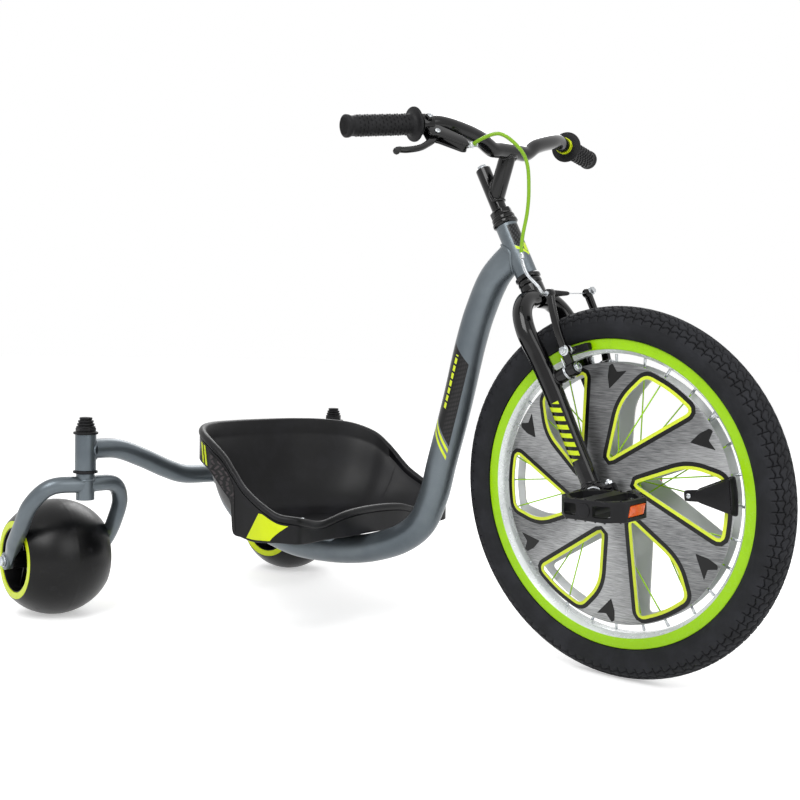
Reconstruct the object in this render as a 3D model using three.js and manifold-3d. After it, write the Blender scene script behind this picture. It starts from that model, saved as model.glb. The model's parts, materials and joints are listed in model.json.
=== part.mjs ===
// Low drift trike: 20-inch front wheel with direct cranks, bucket seat and two ball casters.
// Millimetres, +Z up, +X forward, +Y to the rider's left. The origin ends up under the middle of the trike.
import * as THREE from 'three';
import { mergeVertices } from 'three/addons/utils/BufferGeometryUtils.js';
import Module from 'manifold-3d';

const wasm = await Module();
wasm.setup();

// Shared clearances and fineness
const gap = 0.3; // between pieces that touch
const overrun = 2; // how far a cutter passes a face
const degree = Math.PI / 180;

// Layout of the whole trike
const wheelbase = 765.5; // caster pins to front hub, along the ground
const casterTrack = 590; // between the two caster pins
const headAngle = 27; // steering axis, back from upright
const steerAngle = -6.84; // bars as parked
const crankAngle = 9; // right crank as parked, up from forward

// Tyre and rim
const tyreRadius = 254;
const tyreSection = 25; // radius of the tyre's round section
const tyreWall = 4.5;
const tyreSweep = 135; // section angle from the crown to each bead
const tyreInnerSweep = 130.5;
const beadDepth = 4.5;
const beadHeight = 10;
const rimRadius = 210.7;
const rimHalfWidth = 15.5;
const rimFlange = 2.5;
const rimTrack = 14.3; // height of the braking face
const rimWell = 13.2; // from the flange edge to the tyre well
const rimBedDepth = 20.2; // from the flange edge to the spoke bed
const rimBedHalfWidth = 7;
const wheelFacets = 32;

// Hub, axle and spokes
const hubBarrel = 15;
const hubHalfLength = 38;
const flangeRadius = 25;
const flangeSeat = 23; // flange middle, from the wheel's middle
const flangeThick = 3;
const axleRadius = 8.5;
const axleSquare = 11;
const axleShoulder = 77; // half length of the round part
const spokeCount = 28;
const spokeRadius = 1;
const spokeHoleInset = 3;
const spokeCrossings = 2;

// Disc covers with six windows
const coverRadius = 178;
const coverBore = hubBarrel + gap / Math.cos(Math.PI / 16); // seated on the hub's barrel
const coverThick = 1.5;
const coverEdge = 10; // outer edge, from the wheel's middle
const coverDish = 22.1; // how far the middle stands out past the edge
const windowCount = 6;
const windowTurn = 45; // angle of the first window's long corner
const windowTip = 50;
const windowKnee = 128;
const windowRim = 168;
const windowTipAngle = 39;
const windowKneeAngle = 37;
const windowRimAngle = 27;

// Wheel reflector
const reflectorInner = 112;
const reflectorOuter = 186;
const reflectorHalfWide = 27;
const reflectorNose = 8;
const noseFacets = 6;
const reflectorThick = 10;
const reflectorAngle = 5;
const reflectorSeat = 162; // radius where it rests on the cover's border

// Cranks and pedals
const crankLength = 89;
const crankHubRadius = 15.5;
const crankHubThick = 14;
const crankEyeRadius = 11.5;
const crankEyeThick = 12;
const crankFlare = 17; // eye stands this much further out than the hub end
const crankBolt = 3.5;
const crankBoltDeep = 26;
const crankBoltCap = 9;
const crankBoltHead = 4.5;
const spindleRadius = 4.5;
const spindleCollar = 6;
const pedalLength = 94;
const pedalWidth = 83;
const pedalThick = 25;
const pedalChamfer = 20;
const pedalRib = 7;
const pedalBarrel = 9;
const pedalStand = 17; // from the crank's eye
const pedalReflectorWide = 32;
const pedalReflectorTall = 15;
const pedalReflectorThick = 3;

// Bearings, their seats and caps
const bearingSpread = 50; // bearing middles, from the wheel's middle
const bearingRadius = 16;
const bearingThick = 12;
const seatWall = 5;
const earReach = 12;
const earThick = 8;
const capBoltRadius = 3;
const capBoltHead = 5.5;

// Fork
const steererRadius = 12.7;
const steererWall = 1.3;
const steererTop = 440; // along the steering axis, from the hub
const crownTop = 318.7;
const crownHeight = 24;
const crownRadius = 17;
const legRadius = 13.8;
const legWall = 2;
const legSpread = 50; // leg middles at the hub
const legTop = 312; // legs leave the crown, along the steering axis
const legFoot = 17.5;
const legVent = 2;

// Headset and head tube
const headTubeBottom = 334.5;
const headTubeLength = 81.5;
const headTubeRadius = 15.9;
const headTubeWall = 1.8;
const cupRadius = 18.6;
const cupHeight = 6.9;
const cupSkirt = 12;
const crownRaceHeight = 8;
const crownRaceRadius = 17.4;
const topRaceHeight = 7.5;
const topRaceRadius = 17.2;
const locknutHeight = 10;
const locknutRadius = 16;

// Handlebar, riser and quill
const barRadius = 11.1;
const barWall = 1.6;
const barForward = 53; // bar middle, in front of the steering axis
const barHeight = 508; // bar middle, along the steering axis
const barRise = 32;
const barShares = [[1, 0.12, 0], [1, 0.22, 0], [1.08, 0.38, 0.38], [1.08, 0.64, 0.76]]; // forward, out, up
const gripInner = 172.4; // grip flange, from the middle
const gripForward = 42.8;
const gripLength = 108.8;
const gripSweep = 16.2; // bar ends swept back
const gripUpsweep = 2.5;
const quillTop = 511;
const quillBottom = 362;
const riserFoot = 464;
const riserFootForward = 5;
const riserRadius = 12;
const quillBoltRadius = 3.2;
const quillBoltHead = 7;
const quillBoltHeadHeight = 5;
const wedgeHeight = 20;
const wedgeSlope = 0.4;

// Grips
const gripRadius = 14.4;
const gripFlange = 23.3;
const gripFlangeThick = 3.5;
const gripEndWall = 3;

// Brake lever
const leverStation = 15; // clamp middle, inboard of the grip flange
const leverTilt = 16; // lever plane, forward from straight down
const clampWall = 3.2;
const clampWidth = 17;
const leverPivot = 23; // pivot below the bar's middle
const leverPivotIn = 6; // pivot inboard of the clamp's middle
const perchThick = 15;
const leverThick = 6.6;
const bladeThick = 10;
const leverReach = 77;
const leverDrop = 28; // blade tip below the pivot
const bladeShares = [[0.2, 0.45], [0.45, 0.8], [0.75, 0.92], [0.92, 0.9], [1, 1.08]]; // of reach and drop
const perchReach = 45;
const perchDrop = 44;
const perchHalfDeep = 7;
const barrelRadius = 4.6;
const barrelLength = 11;
const pinRadius = 2.4;
const pinHead = 4.2;
const pinHeadThick = 2.5;

// Rim brake
const brakeForward = 38; // brake pivots, in front of the steering axis
const brakeHeight = 170; // brake pivots, along the steering axis
const brakeSpread = 42;
const brakeBossRadius = 10;
const brakeBossThick = 15;
const brakeBoltRadius = 4;
const brakeBoltDeep = 14;
const armLength = 108;
const armLean = 15; // arm top, further forward than its pivot
const armBow = 7;
const armDeep = 13;
const armWide = 9;
const armTopSpread = 45;
const padRadius = 201.5; // pad middle, from the wheel's middle
const padLength = 44;
const padTall = 10;
const padThick = 10;
const padClearance = 1.2;
const padStudRadius = 3;
const padNutRadius = 5.6;
const noodleRadius = 2.3;
const bootLength = 35;
const bootRadius = 5;
const bootBore = 3.3;
const bootGrip = 10; // noodle's length inside the boot
const bootStand = 4; // from the right arm's middle, past its inner face
const wireRadius = 0.8;
const anchorRadius = 5;

// Cable housing
const cableRadius = 2.5;

// Frame tubes
const mainTubeRadius = 22.7;
const mainTubeWall = 2;
const mainTubeTail = 125; // length of the bend that comes down from the boom
const mainTubeFront = 250; // length of the bend that rises behind the tyre
const mainTubeFoot = 130; // height of the middle where both bends meet the low run
const mainTubeLow = 117; // height of the middle of the low run
const tailShares = [[0, 1], [0.162, 0.651], [0.4, 0.325], [0.681, 0.127], [1, 0]]; // forward, up
const lowShares = [[0.249, 0.908], [0.568, 1], [0.795, 0.682], [1, 0]]; // forward, down
const frontShares = [ // forward, up
  [0.219, 0.0435], [0.362, 0.1026], [0.4525, 0.2015], [0.507, 0.312], [0.607, 0.507],
  [0.7025, 0.7165], [0.762, 0.814], [0.86, 0.922], [1, 1]];
const boomRadius = 15.7;
const boomWall = 2;
const boomVent = 4;
const boomHeight = 222; // middle of the boom
const boomEndHeight = 277;
const boomShares = [[0.13, 0], [0.325, 0.07], [0.444, 0.27], [0.627, 0.67], [0.8, 0.97]]; // out, up
const sleeveRadius = 16.2;
const sleeveBottom = 244.3;
const sleeveLength = 56.4;
const sleeveWall = 2.7;

// Seat bracket
const bracketRear = 165;
const bracketFront = 284;
const bracketHalfWidth = 22;
const bracketTop = 153.2;
const bracketDepth = 21;
const bracketBoltInset = 22;

// Seat
const seatBack = 55; // rim at the back, ahead of the caster pins
const seatLength = 309;
const seatHalfWidth = 206;
const seatHeight = 164.5;
const seatOutlineShares = [ // forward, out, rim height and skirt height, from the back to the front
  [0, 0, 1, 0.68], [0.015, 0.26, 1, 0.68], [0.06, 0.5, 1, 0.68], [0.16, 0.74, 0.99, 0.68],
  [0.28, 0.91, 0.955, 0.67], [0.41, 0.99, 0.87, 0.59], [0.51, 1, 0.75, 0.43], [0.57, 1.01, 0.65, 0.33],
  [0.59, 1.01, 0.615, 0.06], [0.65, 1.02, 0.515, 0.035], [0.735, 1.03, 0.42, 0.015], [0.81, 1.03, 0.35, 0.02],
  [0.9, 1.01, 0.28, 0.035],
  [0.98, 0.93, 0.255, 0.04], [0.97, 0.8, 0.22, 0.04],
  [0.93, 0.6, 0.18, 0.04], [0.94, 0.35, 0.24, 0.04], [0.935, 0, 0.26, 0.04]];
const seatBowlShares = [[0.42, 0], [0.62, 0.06], [0.78, 0.26], [0.89, 0.6], [0.95, 0.93]]; // out, up
const seatWallThick = 3.5;
const seatFloorCentre = 215;
const seatRoll = 8; // height of the rolled rim
const seatBoltRadius = 3;
const seatBoltDeep = 8;
const seatBoltHead = 7;
const seatBoltHeadThick = 3;

// Casters
const casterTrail = 108;
const rightSwivel = -12.1;
const leftSwivel = 1.9;
const ballRadius = 94;
const ballWall = 3.5;
const ballRing = 50.5; // inner radius of the side ring
const ballRecess = 34; // depth of the recess
const ballHub = 14;
const ballVent = 3;
const ballHalfWidth = 69;
const stemRadius = 14.2;
const stemBottom = 198;
const armShares = [[0.09, 0.66, 0.98], [0.28, 0.94, 0.77], [0.56, 1, 0.43]]; // back, out, up from the axle
const armHeight = 222; // arms leave the stem
const armRadius = 12.7;
const armSpread = 80.5; // arms, from the ball's middle
const armFlat = 5; // half thickness of the flattened end
const armWall = 2;
const armEndRadius = 14;
const stemVent = 3;
const kingpinRadius = 9.5;
const kingpinTop = 322;
const bushFlange = 19;
const bushFlangeThick = 3.7;
const nutHeight = 12.5;
const nutRadius = 16;
const capHeight = 10.5;
const capRadius = 12.8;
const ballAxleRadius = 6;
const ballAxleHead = 9.5;
const ballAxleHeadThick = 6;

// Finishes
const finish = (color, roughness, metalness) => new THREE.MeshStandardMaterial({
  color, roughness, metalness,
});
const finishes = {
  framePaint: finish('#7c868b', 0.38, 0.6),
  blackPaint: finish('#0b0b0c', 0.15, 0.3),
  lime: finish('#9adb00', 0.35, 0.2),
  brushed: finish('#9a9c9e', 0.35, 0.9),
  steel: finish('#c4c7ca', 0.25, 0.95),
  tyreRubber: finish('#1b1c20', 0.8, 0),
  gripRubber: finish('#202123', 0.7, 0),
  blackPlastic: finish('#17181a', 0.5, 0),
  ballPlastic: finish('#141416', 0.4, 0),
};

// Geometry helpers

// One closed surface with shared corners, no flat triangles and its faces turned out
function welded(geometry) {
  const bare = geometry.clone();
  bare.deleteAttribute('normal');
  bare.deleteAttribute('uv');
  const joined = mergeVertices(bare);
  const place = joined.attributes.position;
  const kept = [];
  let volume = 0;
  const [a, b, c] = [new THREE.Vector3(), new THREE.Vector3(), new THREE.Vector3()];
  for (let i = 0; i < joined.index.count; i += 3) {
    const [p, q, r] = [joined.index.getX(i), joined.index.getX(i + 1), joined.index.getX(i + 2)];
    if (p === q || q === r || r === p) continue;
    kept.push(p, q, r);
    a.fromBufferAttribute(place, p);
    b.fromBufferAttribute(place, q);
    c.fromBufferAttribute(place, r);
    volume += a.dot(b.cross(c));
  }
  if (volume < 0) kept.reverse();
  joined.setIndex(kept);
  return joined;
}

function solidOf(geometry) {
  const closed = welded(geometry);
  return new wasm.Manifold(new wasm.Mesh({
    numProp: 3,
    vertProperties: new Float32Array(closed.attributes.position.array),
    triVerts: new Uint32Array(closed.index.array),
  }));
}

function geometryOf(solid) {
  const mesh = solid.getMesh();
  const geometry = new THREE.BufferGeometry();
  const places = new Float32Array(mesh.numVert * 3);
  for (let i = 0; i < mesh.numVert; i += 1) {
    for (let k = 0; k < 3; k += 1) places[i * 3 + k] = mesh.vertProperties[i * mesh.numProp + k];
  }
  geometry.setAttribute('position', new THREE.BufferAttribute(places, 3));
  geometry.setIndex(Array.from(mesh.triVerts));
  return geometry;
}

const join = (...shapes) => geometryOf(shapes.map(solidOf).reduce((sum, next) => sum.add(next)));
const cut = (body, ...tools) => geometryOf(
  tools.map(solidOf).reduce((left, tool) => left.subtract(tool), solidOf(body)));
const vec = (x, y, z) => new THREE.Vector3(x, y, z);

// Radius of a faceted bore that clears a round shaft
const roundClear = (radius, count) => (radius + gap) / Math.cos(Math.PI / count);

// Round bar or cone between two points
function rod(from, to, radius, sides = 12, endRadius = radius) {
  const along = to.clone().sub(from);
  const shape = new THREE.CylinderGeometry(endRadius, radius, along.length(), sides);
  shape.translate(0, along.length() / 2, 0);
  shape.applyQuaternion(new THREE.Quaternion().setFromUnitVectors(vec(0, 1, 0), along.normalize()));
  return shape.translate(from.x, from.y, from.z);
}

// Round tube with open ends along a smooth curve; a bore of zero leaves it solid
function tube(points, radius, bore, sides, steps) {
  const section = new THREE.Shape().absarc(0, 0, radius, 0, 2 * Math.PI);
  if (bore > 0) section.holes.push(new THREE.Path().absarc(0, 0, bore, 0, 2 * Math.PI, true));
  const path = new THREE.CatmullRomCurve3(points, false, 'centripetal');
  return new THREE.ExtrudeGeometry(section, {
    steps, extrudePath: path, bevelEnabled: false, curveSegments: sides / 2,
  });
}

// Body of revolution about Y from [radius, height] points
const turned = (profile, sides) => new THREE.LatheGeometry(
  profile.map(([r, y]) => new THREE.Vector2(r, y)), sides);
const turnedUpright = (profile, sides) => turned(profile, sides).rotateX(Math.PI / 2);
const washer = (outer, inner, low, high) => [
  [inner, low], [outer, low], [outer, high], [inner, high], [inner, low]];

// Flat plate from an outline, standing from z = 0 to its thickness
function plate(outline, thick, holes = []) {
  const shape = new THREE.Shape(outline.map(([x, y]) => new THREE.Vector2(x, y)));
  holes.forEach((hole) => shape.holes.push(new THREE.Path(hole.map(([x, y]) => new THREE.Vector2(x, y)))));
  return new THREE.ExtrudeGeometry(shape, { depth: thick, bevelEnabled: false, steps: 1 });
}

function box(low, high) {
  const size = high.clone().sub(low);
  const middle = high.clone().add(low).multiplyScalar(1 / 2);
  return new THREE.BoxGeometry(size.x, size.y, size.z).translate(middle.x, middle.y, middle.z);
}

// Skin through rings of equal point counts, closed by a fan at each end
function loft(rings) {
  const count = rings[0].length;
  const places = rings.flat().flatMap((p) => [p.x, p.y, p.z]);
  const index = [];
  for (let i = 0; i < rings.length - 1; i += 1) {
    for (let k = 0; k < count; k += 1) {
      const [a, b] = [i * count + k, i * count + ((k + 1) % count)];
      index.push(a, b, b + count, a, b + count, a + count);
    }
  }
  const last = (rings.length - 1) * count;
  for (let k = 1; k < count - 1; k += 1) index.push(0, k + 1, k, last, last + k, last + k + 1);
  const geometry = new THREE.BufferGeometry();
  geometry.setAttribute('position', new THREE.Float32BufferAttribute(places, 3));
  geometry.setIndex(index);
  return geometry;
}

// Ellipse of points round a centre, spanned by two half axes
function oval(centre, across, up, sides) {
  return Array.from({ length: sides }, (_, k) => {
    const turn = (2 * Math.PI * k) / sides;
    return centre.clone().addScaledVector(across, Math.cos(turn)).addScaledVector(up, Math.sin(turn));
  });
}

function piece(parent, name, geometry, material) {
  const mesh = new THREE.Mesh(welded(geometry), material);
  mesh.name = name;
  parent.add(mesh);
  return mesh;
}

// Frames of reference
const trike = new THREE.Group();
const column = new THREE.Group(); // z along the steering axis, x forward across it, origin at the hub
column.position.set(wheelbase, 0, tyreRadius);
column.rotation.y = -headAngle * degree;
const steered = new THREE.Group();
steered.rotation.z = steerAngle * degree;
const wheel = new THREE.Group(); // upright again, y along the axle
wheel.rotation.y = headAngle * degree;
trike.add(column);
column.add(steered);
steered.add(wheel);
trike.updateMatrixWorld(true);
const sides = [['right', -1], ['left', 1]];

// Front wheel

function makeTyre() {
  const middle = tyreRadius - tyreSection;
  const arc = (radius, from, to, count) => Array.from({ length: count + 1 }, (_, k) => {
    const turn = (from + ((to - from) * k) / count) * degree;
    return [middle + radius * Math.cos(turn), radius * Math.sin(turn)];
  });
  const outer = arc(tyreSection, -tyreSweep, tyreSweep, 8);
  const inner = arc(tyreSection - tyreWall, tyreInnerSweep, -tyreInnerSweep, 4);
  const lip = outer[0][0];
  const beadOut = rimHalfWidth - rimFlange - gap;
  const beadIn = beadOut - beadDepth;
  const profile = [
    ...outer,
    [lip, beadOut], [lip - beadHeight, beadOut], [lip - beadHeight, beadIn], [lip, beadIn],
    ...inner,
    [lip, -beadIn], [lip - beadHeight, -beadIn], [lip - beadHeight, -beadOut], [lip, -beadOut],
    outer[0],
  ];
  piece(wheel, 'tyre', turned(profile, wheelFacets), finishes.tyreRubber);
}

function makeRim() {
  const half = [
    [rimRadius - rimWell, 0],
    [rimRadius - rimWell, rimBedHalfWidth],
    [rimRadius - rimWell + rimFlange, rimHalfWidth - rimFlange],
    [rimRadius, rimHalfWidth - rimFlange],
    [rimRadius, rimHalfWidth],
    [rimRadius - rimTrack, rimHalfWidth],
    [rimRadius - rimBedDepth, rimBedHalfWidth],
  ];
  const mirrored = half.slice(1).reverse().map(([r, y]) => [r, -y]);
  piece(wheel, 'rim', turned([...half, ...mirrored, half[0]], wheelFacets), finishes.lime);
}

// Spokes leave both faces of each flange and cross twice on their way to the bed
function spokeRods() {
  const bed = (rimRadius - rimBedDepth) * Math.cos(Math.PI / wheelFacets) - gap;
  const hole = flangeRadius - spokeHoleInset;
  return Array.from({ length: spokeCount }, (_, k) => {
    const side = k % 2 === 0 ? 1 : -1;
    const lead = Math.floor(k / 2) % 2 === 0 ? 1 : -1;
    const rimTurn = (2 * Math.PI * k) / spokeCount;
    const hubTurn = rimTurn + (lead * spokeCrossings * 4 * Math.PI) / spokeCount;
    const face = side * (flangeSeat + (lead * flangeThick) / 2);
    const from = vec(hole * Math.cos(hubTurn), face, hole * Math.sin(hubTurn));
    const to = vec(bed * Math.cos(rimTurn), side * spokeRadius * 2, bed * Math.sin(rimTurn));
    return rod(from, to, spokeRadius, 3);
  });
}

function makeHub() {
  const bore = axleRadius + gap;
  const out = flangeSeat + flangeThick / 2;
  const inn = flangeSeat - flangeThick / 2;
  const half = [
    [bore, hubHalfLength], [hubBarrel, hubHalfLength], [hubBarrel, out], [flangeRadius, out],
    [flangeRadius, inn], [hubBarrel, inn],
  ];
  const mirrored = half.slice().reverse().map(([r, y]) => [r, -y]);
  const shell = turned([...half, ...mirrored, half[0]], 16);
  piece(wheel, 'spoked_hub', join(shell, ...spokeRods()), finishes.lime);
}

// Six cut-outs, each from a tip by the hub to a long corner by the rim
function coverWindows() {
  return Array.from({ length: windowCount }, (_, k) => {
    const turn = (windowTurn - (k * 360) / windowCount) * degree;
    const at = (radius, angle) => [
      radius * Math.cos(turn + angle * degree), radius * Math.sin(turn + angle * degree)];
    return [
      at(windowTip, windowTipAngle), at(windowKnee, windowKneeAngle), at(windowRim, windowRimAngle),
      at(windowRim, windowRimAngle / 2), at(windowRim, 0),
    ];
  });
}

// Distance of the covers' inner face from the wheel's middle, at a radius
const coverReach = (radius) => coverEdge + (coverDish * (coverRadius - radius)) / (coverRadius - coverBore);

function makeCovers() {
  const circle = (radius, count) => Array.from({ length: count }, (_, k) => {
    const turn = (2 * Math.PI * k) / count;
    return [radius * Math.cos(turn), radius * Math.sin(turn)];
  });
  sides.forEach(([name, side]) => {
    const holes = [circle(coverBore, 16), ...coverWindows()];
    const flat = plate(circle(coverRadius, wheelFacets), coverThick, holes);
    const place = flat.attributes.position;
    for (let i = 0; i < place.count; i += 1) {
      const [x, z] = [place.getX(i), place.getY(i)];
      place.setXYZ(i, x, side * (coverReach(Math.hypot(x, z)) + place.getZ(i)), z);
    }
    piece(wheel, `disc_cover_${name}`, flat, finishes.brushed);
  });
}

// Wedge-shaped reflector housing with a round nose, standing on the right cover
function makeReflector() {
  const nose = Array.from({ length: noseFacets + 1 }, (_, k) => {
    const turn = (90 + (180 * k) / noseFacets) * degree;
    return [
      reflectorInner + reflectorNose + reflectorNose * Math.cos(turn), reflectorNose * Math.sin(turn)];
  });
  const outline = [...nose, [reflectorOuter, -reflectorHalfWide], [reflectorOuter, reflectorHalfWide]];
  const body = plate(outline, reflectorThick);
  body.rotateX(Math.PI / 2);
  body.rotateY(-reflectorAngle * degree);
  body.translate(0, -coverReach(reflectorSeat) - coverThick - gap, 0);
  piece(wheel, 'wheel_reflector', body, finishes.blackPlastic);
}

// Axle with square ends, drilled for the crank bolts
function makeAxle() {
  const end = axleShoulder + crankHubThick - gap;
  const half = axleSquare / 2;
  const square = box(vec(-half, -end, -half), vec(half, end, half));
  const round = rod(vec(0, -axleShoulder, 0), vec(0, axleShoulder, 0), axleRadius, 16);
  const drills = sides.map(([, side]) => rod(
    vec(0, side * (end - crankBoltDeep), 0), vec(0, side * (end + overrun), 0), crankBolt + gap, 12));
  piece(wheel, 'axle', cut(join(square, round), ...drills), finishes.steel);
}

// Right crank points forward and up, the left one the other way
const crankTurn = (side) => (side < 0 ? crankAngle : crankAngle + 180) * degree;
const crankEye = (side) => vec(
  crankLength * Math.cos(crankTurn(side)), 0, crankLength * Math.sin(crankTurn(side)));
const crankIn = axleShoulder + gap;
const crankEyeIn = crankIn + crankFlare;

function makeCranks() {
  sides.forEach(([name, side]) => {
    const eye = crankEye(side);
    const out = vec(0, side, 0);
    const along = eye.clone().normalize();
    const across = along.clone().cross(out);
    const at = (share) => eye.clone().multiplyScalar(share).addScaledVector(
      out, crankIn + crankHubThick / 2 + (crankFlare + (crankEyeThick - crankHubThick) / 2) * share);
    const ring = (share) => oval(
      at(share), across.clone().multiplyScalar(crankEyeRadius * (1 - share / 4)),
      out.clone().multiplyScalar((crankHubThick / 2) * (1 - share / 4) - gap), 8);
    const hub = rod(
      out.clone().multiplyScalar(crankIn),
      out.clone().multiplyScalar(crankIn + crankHubThick), crankHubRadius, 16);
    const eyeBoss = rod(
      eye.clone().addScaledVector(out, crankEyeIn),
      eye.clone().addScaledVector(out, crankEyeIn + crankEyeThick), crankEyeRadius, 12);
    const half = axleSquare / 2 + gap;
    const square = box(
      vec(-half, crankIn - overrun, -half),
      vec(half, crankIn + crankHubThick + overrun, half)).scale(1, side, 1);
    const hole = rod(
      eye.clone().addScaledVector(out, crankEyeIn - overrun),
      eye.clone().addScaledVector(out, crankEyeIn + crankEyeThick + overrun), spindleRadius + gap, 12);
    const boltRoom = rod(
      out.clone().multiplyScalar(crankIn + crankHubThick),
      out.clone().multiplyScalar(crankIn + crankHubThick + crankFlare), roundClear(crankBoltCap, 12), 12);
    const arm = loft([ring(0), ring(1 / 2), ring(1)]);
    const body = cut(join(hub, eyeBoss, arm), square, hole, boltRoom);
    piece(wheel, `crank_${name}`, body, finishes.blackPaint);
  });
}

function makeCrankBolts() {
  const face = crankIn + crankHubThick + gap;
  const bolt = [
    [0, face - crankBoltDeep + overrun], [crankBolt, face - crankBoltDeep + overrun], [crankBolt, face],
    [crankBoltCap, face], [crankBoltCap, face + crankBoltHead], [0, face + crankBoltHead],
  ];
  sides.forEach(([name, side]) => {
    const shape = turned(bolt.map(([r, y]) => [r, side * y]), 10);
    piece(wheel, `crank_bolt_${name}`, shape, finishes.blackPaint);
  });
}

// Pedals

const pedalIn = crankEyeIn + crankEyeThick + pedalStand;
const pedalOut = pedalIn + pedalWidth;

function makeSpindles() {
  const end = pedalOut - pedalRib;
  const collar = pedalIn - gap;
  const collarIn = crankEyeIn + crankEyeThick + gap;
  sides.forEach(([name, side]) => {
    const eye = crankEye(side);
    const profile = [
      [0, crankEyeIn], [spindleRadius, crankEyeIn], [spindleRadius, collarIn],
      [spindleCollar, collarIn], [spindleCollar, collar], [spindleRadius, collar],
      [spindleRadius, end], [0, end],
    ];
    const pin = turned(profile.map(([r, y]) => [r, side * y]), 10).translate(eye.x, 0, eye.z);
    piece(wheel, `pedal_spindle_${name}`, pin, finishes.steel);
  });
}

// Cage with chamfered corners, a middle barrel and two side bays open top to bottom
function makePedals() {
  const [halfLength, halfWidth, halfThick] = [pedalLength / 2, pedalWidth / 2, pedalThick / 2];
  const [wide, deep] = [halfLength - pedalChamfer, halfWidth - pedalChamfer];
  const outline = [
    [halfLength, -deep], [halfLength, deep], [wide, halfWidth], [-wide, halfWidth],
    [-halfLength, deep], [-halfLength, -deep], [-wide, -halfWidth], [wide, -halfWidth],
  ];
  const inner = halfLength - pedalRib;
  const bayOut = halfWidth - pedalRib;
  const bayDeep = bayOut - pedalChamfer;
  const bay = (side) => [
    [side * inner, -bayDeep], [side * inner, bayDeep], [side * (inner - pedalChamfer), bayOut],
    [side * pedalBarrel, bayOut], [side * pedalBarrel, -bayOut], [side * (inner - pedalChamfer), -bayOut],
  ];
  sides.forEach(([name, side]) => {
    const eye = crankEye(side);
    const frame = plate(outline, pedalThick).translate(0, 0, -halfThick);
    const bays = [-1, 1].map((end) => plate(
      bay(end), pedalThick + overrun * 2).translate(0, 0, -halfThick - overrun));
    const bore = rod(
      vec(0, -side * (halfWidth + overrun), 0), vec(0, side * (halfWidth - pedalRib / 2), 0),
      (spindleRadius + gap) / Math.cos(Math.PI / 12), 12);
    const pocket = (end) => box(
      vec(end * (halfLength - pedalReflectorThick), -pedalReflectorWide / 2, -pedalReflectorTall / 2),
      vec(end * (halfLength + overrun), pedalReflectorWide / 2, pedalReflectorTall / 2));
    const middle = side * (pedalIn + halfWidth);
    const body = cut(frame, bore, ...bays, pocket(-1), pocket(1)).translate(eye.x, middle, eye.z);
    piece(wheel, `pedal_${name}`, body, finishes.blackPlastic);
  });
}

// Fork, bearings and headset, in the steered frame

const alongY = (side, low, high, radius, count) => rod(
  vec(0, side * low, 0), vec(0, side * high, 0), radius, count);

function makeBearings() {
  const [low, high] = [bearingSpread - bearingThick / 2, bearingSpread + bearingThick / 2];
  sides.forEach(([name, side]) => {
    const ring = turned(washer(bearingRadius, roundClear(axleRadius, 16), side * low, side * high), 16);
    piece(steered, `wheel_bearing_${name}`, ring, finishes.steel);
  });
}

// Half of a split holder: the fork keeps the upper half and the cap is the same shape turned over
function holderHalf(side) {
  const outer = bearingRadius + gap + seatWall;
  const [low, high] = [bearingSpread - bearingThick / 2, bearingSpread + bearingThick / 2];
  const ears = box(
    vec(-outer - earReach, Math.min(side * low, side * high), 0),
    vec(outer + earReach, Math.max(side * low, side * high), earThick));
  const below = box(vec(-outer * 2, -high * 2, -outer * 2), vec(outer * 2, high * 2, gap / 2));
  const drills = [-1, 1].map((end) => rod(
    vec(end * (outer + earReach / 2), side * bearingSpread, -overrun),
    vec(end * (outer + earReach / 2), side * bearingSpread, earThick + overrun), capBoltRadius + gap, 8));
  return cut(
    join(alongY(side, low, high, outer, 16), ears), below,
    alongY(side, low - overrun, high + overrun, roundClear(bearingRadius, 16), 16), ...drills);
}

// Each cap carries its two clamp bolts, which run up through the fork's ears to their nuts
function makeCaps() {
  const reach = bearingRadius + gap + seatWall + earReach / 2;
  const top = earThick + gap;
  sides.forEach(([name, side]) => {
    const bolts = [-1, 1].map((end) => turnedUpright([
      [0, -top], [capBoltHead, -top], [capBoltHead, gap - earThick], [capBoltRadius, gap - earThick],
      [capBoltRadius, top], [capBoltHead, top], [capBoltHead, top + capBoltHead], [0, top + capBoltHead],
    ], 6).translate(end * reach, side * bearingSpread, 0));
    const lower = join(holderHalf(side).scale(1, 1, -1), ...bolts);
    piece(steered, `bearing_cap_${name}`, lower, finishes.blackPaint);
  });
}

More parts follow.
